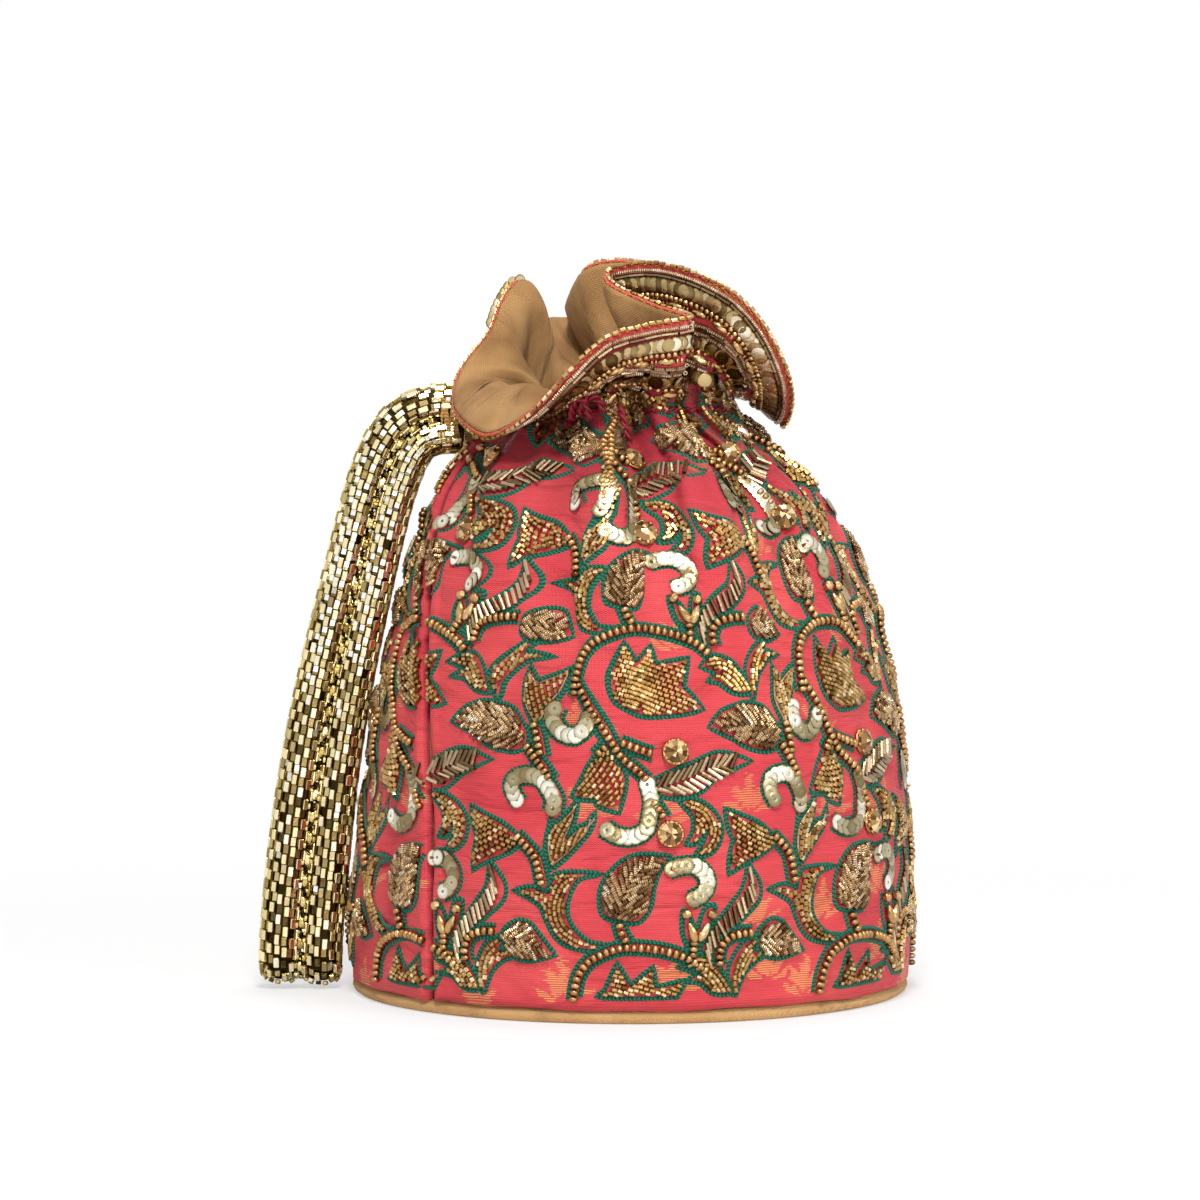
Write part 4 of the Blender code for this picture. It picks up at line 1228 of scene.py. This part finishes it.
class Threads:
    """Couched threads, gathered as narrow strips and then set in one mesh."""

    def __init__(self):
        self.grids, self.uvs = [], []

    def lay(self, line, side, half, rise, closed=False):
        """A strip along a drawn line, half a width to each side, raised in the middle."""
        line, side = drawn_on(line), unit(side)
        if closed:
            line, side = np.vstack([line, line[:1]]), np.vstack([side, side[:1]])
        keep = within(line)
        cuts = np.flatnonzero(np.diff(keep.astype(int)))
        for run in np.split(np.arange(len(line)), cuts + 1):
            if not keep[run[0]] or len(run) < 3:
                continue
            along = line[run]
            offsets = np.array([-half, 0, half])
            drawn = along[:, None] + side[run][:, None] * offsets[None, :, None]
            lifts = np.broadcast_to(np.array([0.02, rise, 0.02]) * MM + SILK_FACE, drawn.shape[:2])
            place, _ = on_cloth(drawn[..., 0] * MM, drawn[..., 1] * MM, lifts)
            travelled = lengths(place[:, 1])
            uv = np.stack(np.broadcast_arrays(travelled[:, None], offsets * MM), -1)
            self.grids.append(place)
            self.uvs.append(uv)

    def set(self, name, material):
        return put(name, sheets(name, self.grids, self.uvs), material)


def painted_end_shade(reach, depth):
    """Painted light on a bead along its thread: a painted highlight in the middle and painted shade where
    it meets others.
    """
    return lambda co: 0.12 - (depth + 0.12) * np.clip(np.abs(co[:, 0]) / reach, 0, 1) ** 2


def painted_sequin_shade(co):
    """Painted shade on a sequin: dark at its hole and at its edge."""
    out = np.hypot(co[:, 0], co[:, 1])
    return np.interp(out, [0.0, 0.3, 0.6, 1.7, 2.2], [0.1, -0.5, 0.08, 0.0, -0.8])


def gold_tray(name, shape, material, shade=None, smooth=True):
    return Tray(name, shape, material, "antique_gold_beads", smooth, shade)


rondelles = gold_tray("stem_beads", spun([(-0.80, 0.42), (-0.60, 0.96), (-0.2, 1.2), (0.2, 1.2),
                                          (0.60, 0.96), (0.80, 0.42)], 8), RONDELLE, painted_end_shade(0.8, 0.3))
seeds = gold_tray("leaf_seed_beads", rod(6, 0.65, 1.2), CUT_SEED, smooth=False)
coils = gold_tray("coil_wire_pieces", spun([(-1.45, 0.28), (-1.25, 0.66), (1.25, 0.66), (1.45, 0.28)], 7),
                  COIL_WIRE, painted_end_shade(1.45, 0.25))
edge_coils = gold_tray("edge_coil_wire", spun([(-1.45, 0.35), (-1.3, 0.6), (1.3, 0.6), (1.45, 0.35)], 7),
                       RIM_WIRE)
bugles = gold_tray("bugle_beads", rod(7, 0.6, 4.5), BUGLE, painted_end_shade(2.25, 0.2))
sequins = gold_tray("sequins", spun([(0.02, 0.3), (0.10, 0.6), (0.08, 1.75), (-0.04, 2.2)], 12, "Z"),
                    SEQUIN, painted_sequin_shade)
edge_sequins = gold_tray("edge_sequins", spun([(0.12, 0), (0.08, 1.7), (-0.04, 2.2)], 11, "Z"),
                         EDGE_SEQUIN, painted_sequin_shade)
pearls = gold_tray("rice_pearls", pearl(4.9, 2.2), RICE, painted_end_shade(2.4, 0.35))
rounds = gold_tray("round_beads", pearl(2.0, 2.0, fine=5), RICE, painted_end_shade(0.95, 0.35))
drops = gold_tray("bud_drops", pearl(4.9, 2.6, 0.45), RICE)
green = Threads()
wire = Threads()


def side_of(line):
    along = np.gradient(line, axis=0)
    return unit(np.stack([-along[:, 1], along[:, 0]], 1))


def green_sides(line, distance, half, rise):
    """Green thread couched on both sides of a line."""
    fine = through(line, 5)
    side = side_of(fine)
    for face in (1, -1):
        green.lay(fine + side * distance * face, side, half, rise)


def lay_stem(line):
    """Round beads in a row, between two green threads."""
    points, direction = strung(line, STEM_PITCH)
    keep = within(points)
    place, thread, normal = seat(points[keep], direction[keep], 1.0 * MM)
    size = np.stack([np.ones(len(place)), shuffle.normal(1, 0.05, len(place)), np.ones(len(place))], 1)
    rondelles.lay(place, thread, normal, size, jitter=0.13)
    green_sides(line, 1.65, 0.66, 0.6)


def packed(points, ways, loop, margin, room, tall, jitter):
    """Seats inside a domed leaf: the rows first, then spare seats in the gaps that they leave."""
    low, high = loop.min(axis=0), loop.max(axis=0)
    spare = low + (high - low) * shuffle.random((int(np.prod(high - low) * 4), 2))
    nearest = np.argmin(np.sum((spare[:, None] - points[None]) ** 2, axis=2), axis=1)
    points, ways = np.vstack([points, spare]), np.vstack([ways, ways[nearest]])
    keep = inside(points, loop)
    points, ways = points[keep], ways[keep]
    room_left = clearance(points, loop)
    keep = room_left > margin
    points, ways, room_left = points[keep], ways[keep], room_left[keep]
    drawn = drawn_on(points)
    keep = within(drawn)
    drawn, ways, room_left = drawn[keep], ways[keep], room_left[keep]
    if len(drawn) == 0:
        return np.empty((0, 3)), np.empty((0, 3)), np.empty((0, 3))
    ways = unit(ways) + shuffle.normal(0, jitter, ways.shape)
    lift = tall[0] + tall[1] * np.clip(room_left / 3.5, 0, 1) + shuffle.uniform(-0.1, 0.1, len(drawn))
    place, thread, normal = seat(drawn, ways, lift * MM)
    kept = thinned(place, room * MM)
    return place[kept], thread[kept], normal[kept]


def fill_rows(edge, lines):
    """Seed beads in rows beside the leaf's lines, as many as its outline holds."""
    loop = dense_edge(edge)
    found, ways = [], []
    for line in lines:
        fine = through(line, 8)
        travelled = lengths(fine)
        stops = np.arange(0.3, travelled[-1], SEED_PITCH)
        centre = read_off(stops, travelled, fine)
        side = read_off(stops, travelled, side_of(fine))
        ahead = np.stack([side[:, 1], -side[:, 0]], -1)
        for step in range(14):
            for face in ((1, -1) if step else (1,)):
                start = 0.5 * SEED_PITCH * (step % 2)
                found.append(centre + side * SEED_GAP * step * face + ahead * start)
                ways.append(ahead)
    place, thread, normal = packed(np.vstack(found), np.vstack(ways), loop, 0.6, 0.9 * SEED_GAP, (0.6, 0.5),
                                   0.14)
    seeds.lay(place, thread, normal, jitter=0.2)


def fill_coils(edge, lines):
    """Short pieces of coiled wire, feathered from the leaf's midrib, rough and raised."""
    loop = dense_edge(edge)
    fine = through(lines[0], 10)
    travelled = lengths(fine)
    stops = np.arange(-3, travelled[-1], 1.75)
    ends = unit(fine[1] - fine[0])
    centre, along = passing(stops, travelled, fine, 0.5)
    centre += np.minimum(stops, 0)[:, None] * ends
    along = unit(along + 1e-6 * ends)
    side = np.stack([-along[:, 1], along[:, 0]], 1)
    found, ways = [], []
    for face in (1, -1):
        way = unit(along * 0.78 + side * face * 0.68)
        for rank in range(5):
            reach = 1.2 + rank * 2.7 + shuffle.uniform(-0.3, 0.3, len(stops))
            found.append(centre + way * reach[:, None])
            ways.append(way)
    place, thread, normal = packed(np.vstack(found), np.vstack(ways), loop, 0.85, 1.12, (0.65, 0.9), 0.12)
    count = len(place)
    if count == 0:
        return
    thread = unit(thread + normal * shuffle.normal(0, 0.14, count)[:, None])
    size = np.stack([shuffle.uniform(0.8, 1.05, count), np.ones(count), np.ones(count)], 1)
    coils.lay(place, thread, normal, size, jitter=0.22)


def lay_bugles(line, angle):
    """Bugle beads side by side along a line, all at about one angle."""
    points, _ = strung(line, BUGLE_PITCH)
    points = points[within(points)]
    if len(points) == 0:
        return
    turn = np.radians(angle + shuffle.normal(0, 5, len(points)))
    place, thread, normal = seat(points, np.stack([np.cos(turn), np.sin(turn)], 1), 0.8 * MM)
    bugles.lay(place, thread, normal, jitter=0.22)


def overlapped(thread, normal, degrees):
    """Normals of sequins that each lean on the last."""
    tilt = math.radians(degrees)
    return unit(normal * math.cos(tilt) - thread * math.sin(tilt))


def lay_curl(line):
    """Overlapping sequins on a curl, each tilted onto the last."""
    points, direction = strung(line, CURL_PITCH)
    keep = within(points)
    points, direction = points[keep], direction[keep]
    if len(points) < 2:
        return
    place, thread, normal = seat(points, direction, 1.0 * MM)
    order = np.arange(len(place))
    # Painted reflection: the sequins' brightness rises and falls along the curl, and alternate discs are
    # painted lighter and darker.
    tones = 0.53 + 0.38 * np.sin(order * 0.75 + shuffle.uniform(0, 6)) + 0.08 * (-1.0) ** order
    sequins.lay(place, thread, overlapped(thread, normal, 24), tone=tones, jitter=0.1)
    rounds.lay(place[-1:] + normal[-1:] * 0.6 * MM, thread[-1:], normal[-1:], 0.45, tone=0.3)
    green_sides(line, 2.3, 0.5, 0.35)


def fitted(edge, du, dv):
    """A leaf's outline, moved and closed off above the panel's lower edge, or nothing where it is off."""
    edge = shifted(edge, du, dv)
    if within(drawn_on(dense_edge(edge))).mean() < 0.4:
        return []
    cut = LOW_EDGE + 1.2
    kept = [(p[0], max(p[1], cut), *p[2:]) for p in edge if p[1] > cut - 4.5]
    if all(len(p) == 2 for p in kept):
        kept[0] = (*kept[0], 1)
    return kept


def trace_leaf(edge, wired=False):
    """Green thread round a leaf, and a pod's wire inside it."""
    loop = dense_edge(edge, 4)
    outer, side = offset_edge(loop, 0.35)
    green.lay(outer, side, 0.66, 0.6, closed=True)
    if wired:
        inner, side = offset_edge(loop, -0.55)
        wire.lay(inner, side, 0.34, 0.95, closed=True)


def shifted(points, du, dv):
    return [(p[0] + du, p[1] + dv, *p[2:]) for p in points]


def neck_motifs():
    """Small leaves crowded into the gathers at the neck, seeds and coils by turns."""
    for k in range(NECK_LEAVES):
        u = SEAM_U / MM + (k + 0.5) * GIRTH / MM / NECK_LEAVES
        v = NECK_V / MM - (12, 7, 15, 5)[k % 4]
        leaf = [(u, v, 1), (u + 3.6, v + 4), (u + 4, v + 9), (u + 0.5, v + 15, 1), (u - 3.8, v + 9),
                (u - 3.6, v + 4)]
        fill = fill_coils if k % 2 else fill_rows
        fill(leaf, [[(u, v + 0.5), (u + 0.3, v + 7), (u + 0.5, v + 14.5)]])
        trace_leaf(leaf)


def lay_leaves(leaves, fill, du, dv, wired=False):
    """A repeat's leaves of one kind, where enough of each is on a panel."""
    for edge, lines in leaves:
        here = fitted(edge, du, dv)
        if here:
            fill(here, [shifted(line, du, dv) for line in lines])
            trace_leaf(here, wired)


def lay_bud(bead, head, tail):
    """A bud: a drop-shaped bead with a round one at its tip."""
    spots = drawn_on(np.array([bead, head, tail]))
    if not within(spots).all():
        return
    way = spots[2:3] - spots[1:2]
    place, thread, normal = seat((spots[1:2] + spots[2:3]) / 2, way, 1.4 * MM)
    drops.lay(place, -thread, normal, 1.2, jitter=0.1)
    place, thread, normal = seat(spots[:1], way, 1.4 * MM)
    rounds.lay(place, thread, normal, 1.4, jitter=0.1)


def lay_repeat(du, dv, low):
    """One repeat of the vine, moved round and up. A low one's sprouts stand clear of the base."""
    for line in STEMS:
        lay_stem(shifted(line, du, dv))
    for line in GREEN_VINES:
        fine = through(shifted(line, du, dv), 5)
        green.lay(fine, side_of(fine), 0.6, 0.5)
    lay_leaves(SEED_LEAVES, fill_rows, du, dv)
    lay_leaves(COIL_LEAVES, fill_coils, du, dv)
    for edge, ranks in BUGLE_LEAVES:
        here = fitted(edge, du, dv)
        if here:
            trace_leaf(here)
            for line, angle in ranks:
                lay_bugles(shifted(line, du, dv), angle)
    lay_leaves(WIRE_PODS, fill_rows, du, dv, wired=True)
    nudge = (-5.6, 6) if low else (0, 0)
    lay_leaves(SPROUTS, fill_rows, du + nudge[0], dv + nudge[1])
    for line in CURLS:
        lay_curl(shifted(line, du, dv))
    for bud in BUDS:
        lay_bud(*shifted(bud, du, dv))
    for edge in BUD_EDGES:
        fine = through(shifted(edge, du, dv), 5)
        middle = fine.mean(axis=0)
        green.lay(middle + (fine - middle) * (0.82, 0.92), side_of(fine), 0.75, 0.5)


neck_motifs()
gems = []
for turn in range(7):
    for row in (-1, 0, 1):
        du = turn * REPEAT_U - (GIRTH / MM if turn > 3 else 0)
        lay_repeat(du, row * REPEAT_V, row == -1)
        gems += shifted(STONES, du, row * REPEAT_V)


def setting_shape():
    """A round setting: a rolled collar and a ring of claws."""
    collar = [(math.sin(a) * 0.55, 3.15 + math.cos(a) * 0.55) for a in np.linspace(0, math.tau, 7)]
    bm = spun(collar, 16, "Z")
    for step in range(8):
        angle = math.tau * step / 8
        ball = bmesh.ops.create_icosphere(bm, subdivisions=1, radius=0.75 * MM)
        place = Vector((3.05 * math.cos(angle), 3.05 * math.sin(angle), 0.6)) * MM
        bmesh.ops.translate(bm, verts=ball["verts"], vec=place)
    return bm


gem = spun([(-0.4, 3.1), (0.6, 3.05), (1.5, 1.6), (2.0, 0)], 10, "Z")
bmesh.ops.split_edges(gem, edges=gem.edges)
gem.verts.index_update()
# Each facet of a stone painted its own brightness, light and dark by turns: painted glints and shade where
# a cut stone catches the lamps.
painted_facet_glints = np.zeros(len(gem.verts))
for order, face in enumerate(gem.faces):
    painted_facet_glints[[vert.index for vert in face.verts]] = (-0.55, 0.35, 0.0, -0.3, 0.5, -0.1, 0.2)[order * 3 % 7]
stones = gold_tray("topaz_stones", gem, TOPAZ, lambda co: painted_facet_glints, smooth=False)
settings = gold_tray("stone_settings", setting_shape(), RONDELLE)
spots = drawn_on(gems)
spots = spots[within(spots)]
turns = shuffle.uniform(0, math.tau, len(spots))
place, thread, normal = seat(spots, np.stack([np.cos(turns), np.sin(turns)], 1), 1.6 * MM)
stones.lay(place, thread, normal, jitter=0.05)
settings.lay(place - normal * 0.6 * MM, thread, normal, jitter=0.1)


# The ruffle's edge

RIM_SAMPLES = 3000
rim_u = np.linspace(SEAM_U, SEAM_U + GIRTH, RIM_SAMPLES)
rim_rows = np.linspace(RIM_V, NECK_V + 2 * MM, 60)
rim_sheet = cloth(rim_u[None, :], rim_rows[:, None])
rim_down = np.concatenate([np.zeros((1, RIM_SAMPLES)),
                           np.cumsum(np.linalg.norm(np.diff(rim_sheet, axis=0), axis=2), axis=0)])


def rim_line(distance):
    """Drawn points of a line that keeps a distance below the ruffle's edge."""
    down = np.broadcast_to(np.asarray(distance, float), (RIM_SAMPLES,)) * MM
    v = np.array([np.interp(down[k], rim_down[:, k], rim_rows) for k in range(RIM_SAMPLES)])
    return np.stack([rim_u, v], -1) / MM


def rim_seats(distance, pitch, lift):
    """Bead seats at a pitch along a line below the ruffle's edge."""
    line = rim_line(distance)
    travelled = lengths(cloth(line[:, 0] * MM, line[:, 1] * MM)) / MM
    count = max(2, round(travelled[-1] / pitch))
    stops = (np.arange(count) + 0.5) * travelled[-1] / count
    room = rim_down[-1] - np.broadcast_to(np.asarray(distance, float), (RIM_SAMPLES,)) * MM
    stops = stops[np.interp(stops, travelled, room) > 0.5 * MM]
    return seat(*passing(stops, travelled, line), lift * MM)


# Plain rows of the ruffle's beadwork: the beads, their pitch, height, size, tone and how much it varies
ROWS = {"wire": (edge_coils, 2.75, 0.55, (1, 1, 1), 0.5, 0.16),
        "bugles": (bugles, 4.7, 0.6, (1, 0.9, 0.9), 0.45, 0.14),
        "beads": (rounds, 1.62, 0.85, (0.8, 0.95, 0.95), 0.42, 0.14)}
# Rows of the first band, by their distance below the edge, and of the wavy band further down
EDGE_ROWS = [("bugles", 2.6), ("sequins", 5.1), ("beads", 8.0), ("rice", 10.0)]
WAVY_ROWS = [("wire", -1.2), ("bugles", 0.0), ("wire", 1.2), ("sequins", 3.7), ("beads", 6.5),
             ("rice", 8.5), ("wire", 10.4), ("wire", 11.7), ("sequins", 14.2), ("beads", 16.8),
             ("wire", 18.4), ("bugles", 19.7), ("sequins", 22.2), ("wire", 24.6), ("beads", 26.2)]


def lay_row(kind, distance, tone=None):
    """A row of beadwork at a distance below the ruffle's edge."""
    if kind == "sequins":
        place, thread, normal = rim_seats(distance, 1.7, 1.3)
        order = np.arange(len(place))
        # A slow drift of tone along the row, and painted shade: alternate sequins lighter and darker so
        # that each overlapped one stands apart.
        tones = 0.5 + 0.2 * np.sin(order * 0.13 + 1.0) + 0.17 * (-1.0) ** order
        edge_sequins.lay(place, thread, overlapped(thread, normal, 48), tone=tones, jitter=0.1)
    elif kind == "rice":
        place, thread, normal = rim_seats(distance, 7.1, 0.95)
        pearls.lay(place, thread, normal, 1.08, jitter=0.12)
        for shift in (2.95, 4.15):
            rounds.lay(place + thread * shift * MM, thread, normal, (0.5, 0.85, 0.85), jitter=0.12)
    else:
        tray, pitch, lift, size, usual, jitter = ROWS[kind]
        tone = usual if tone is None else tone
        tray.lay(*rim_seats(distance, pitch, lift), size, tone=tone, jitter=jitter)


def make_rim():
    edge = rim_point(rim_u)[:, :3]
    normal = outwards(rim_u, np.full_like(rim_u, RIM_V - 0.5 * MM))
    up = unit(rim_sheet[0] - rim_sheet[2])
    lumps = 1 + 0.22 * np.sin(rim_u / MM * 2.1) * np.sin(rim_u / MM * 0.83)
    path = (edge + up * 0.35 * MM - normal * 0.2 * MM)[::3]
    path = np.vstack([path[:-1], path[:1]])
    size = (0.46 * MM * lumps)[::3]
    size = np.concatenate([size[:-1], size[:1]])
    skin, uv = tube(path, size, 6, closed=True)
    put("edge_piping", sheets("edge_piping", [skin], [uv], weld=True), PIPING, ["rim_piping"])
    grids, uvs = [], []
    for phase, reach in ((0.0, 1.05), (0.5, 0.95)):
        wind = rim_u / (6.3 * MM) * math.tau + phase * math.tau + 1.3 * np.sin(rim_u / (23 * MM))
        line = (edge + up * 0.3 * MM + up * (0.35 * np.cos(wind) * MM)[:, None]
                + normal * ((0.05 + 0.65 * reach * np.sin(wind)) * MM)[:, None])[::4]
        line = np.vstack([line[:-1], line[:1]])
        skin, uv = tube(line, 0.26 * MM, 5, closed=True)
        grids.append(skin)
        uvs.append(uv)
    put("edge_stitching", sheets("edge_stitching", grids, uvs, weld=True), ORANGE)

    picots = gold_tray("edge_picots", rod(6, 0.55, 1.5), CUT_SEED, smooth=False)
    place, thread, normal = rim_seats(0.25, 2.1, 0.35)
    side = np.cross(normal, thread)
    count = len(place)
    lean = shuffle.normal(0, 0.12, (count, 1))
    lift = shuffle.uniform(1.0, 1.25, (count, 1)) * MM
    picots.lay(place + side * lift, unit(thread + side * lean), normal, tone=0.56, jitter=0.2)

    lay_row("wire", 1.3, 0.55)
    for kind, distance in EDGE_ROWS:
        lay_row(kind, distance)
    wave = 13.7 - 1.4 * np.cos(rim_u / (60.5 * MM) * math.tau)
    for kind, distance in WAVY_ROWS:
        lay_row(kind, wave + distance)
    tip = (edge[:, 0] < -29 * MM) & (edge[:, 1] < 14 * MM) & (edge[:, 2] > 183 * MM)
    travelled = lengths(edge[tip])
    stops = np.arange(1.2 * MM, travelled[-1], 2.0 * MM)
    place = read_off(stops, travelled, edge[tip])
    along = read_off(stops, travelled, unit(np.gradient(edge[tip], axis=0)))
    face = np.broadcast_to(unit(np.array([-0.25, -1, 0.1])), place.shape)
    edge_sequins.lay(place + np.array([-0.5, 0.8, 0.1]) * MM, along, overlapped(along, face, 28), tone=0.5)
    picots.set(["rim_trim"])


make_rim()
for tray in (rondelles, seeds, coils, edge_coils, bugles, sequins, edge_sequins, pearls, rounds, drops,
             stones, settings):
    tray.set()
green.set("green_couching", GREEN)
wire.set("pod_wire", PINK_WIRE)


# Carried-over CAD nodes

def dress(node, material):
    """A CAD node keeps its shape and takes a procedural material."""
    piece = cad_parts[node]
    piece.data.materials.clear()
    piece.data.materials.append(material)


dress("handle_tab_front", WRAPPED)
dress("handle_tab_rear", WRAPPED)
dress("base_board", CARD)


# Studio

def lamp(name, place, aim, size, power):
    """A round area light."""
    data = bpy.data.lights.new(name, "AREA")
    data.shape = "DISK"
    data.size = size
    data.energy = power
    made = bpy.data.objects.new(name, data)
    made.location = place
    made.rotation_euler = (Vector(aim) - Vector(place)).to_track_quat("-Z", "Y").to_euler()
    bpy.context.scene.collection.objects.link(made)


def seen_directly(tree):
    """1 where a surface is seen by the camera, in a reflection or through glass."""
    path = add(tree, "ShaderNodeLightPath").outputs
    return maths(tree, "MAXIMUM", path["Is Camera Ray"],
                 maths(tree, "MAXIMUM", path["Is Glossy Ray"], path["Is Transmission Ray"]))


def make_studio():
    lamp("key", (0.0, -0.85, 1.2), (0, 0, 0.1), 0.35, 13.2)
    lamp("fill", (0.95, -0.9, 0.6), (0, 0, 0.1), 0.5, 3.8)
    lamp("front", (0.15, -1.3, 0.12), (0, 0, 0.13), 0.5, 3.0)
    lamp("top", (0.1, 0.2, 1.2), (0, 0, 0.1), 0.4, 4.0)
    lamp("rear", (-0.5, 1.1, 0.7), (0, 0, 0.1), 0.6, 2.5)
    world = bpy.data.worlds.new("studio")
    world.use_nodes = True
    bpy.context.scene.world = world
    tree = world.node_tree
    tree.nodes.clear()
    soft = add(tree, "ShaderNodeBackground", {"Color": (1, 1, 1, 1), "Strength": 0.28})
    white = add(tree, "ShaderNodeBackground", {"Color": (1, 1, 1, 1), "Strength": 1.0})
    mix = add(tree, "ShaderNodeMixShader", {0: seen_directly(tree), 1: soft.outputs[0],
                                            2: white.outputs[0]})
    add(tree, "ShaderNodeOutputWorld", {"Surface": mix.outputs[0]}, is_active_output=True)

    bm = bmesh.new()
    bmesh.ops.create_circle(bm, cap_ends=True, segments=96, radius=3.0)
    mesh = bpy.data.meshes.new("floor")
    bm.to_mesh(mesh)
    bm.free()
    floor = bpy.data.objects.new("floor", mesh)
    bpy.context.scene.collection.objects.link(floor)
    made = bpy.data.materials.new("pale_floor")
    made.use_nodes = True
    tree = made.node_tree
    tree.nodes.clear()
    away = add(tree, "ShaderNodeVectorMath", {0: object_coords(tree)}, operation="LENGTH")
    far = spread(tree, away.outputs["Value"], 0.10, 0.42, 0.55, 1.0)
    path = add(tree, "ShaderNodeLightPath")
    share = times(tree, far, path.outputs["Is Camera Ray"])
    plain = add(tree, "ShaderNodeBsdfDiffuse", {"Color": (0.92, 0.92, 0.92, 1)})
    glow = add(tree, "ShaderNodeEmission", {"Color": (1, 1, 1, 1), "Strength": 1.0})
    mix = add(tree, "ShaderNodeMixShader", {0: share, 1: plain.outputs[0], 2: glow.outputs[0]})
    add(tree, "ShaderNodeOutputMaterial", {"Surface": mix.outputs[0]})
    mesh.materials.append(made)


make_studio()
bpy.context.scene.view_settings.view_transform = "Standard"


def plain(box):
    return [[float(x) for x in corner] for corner in box]
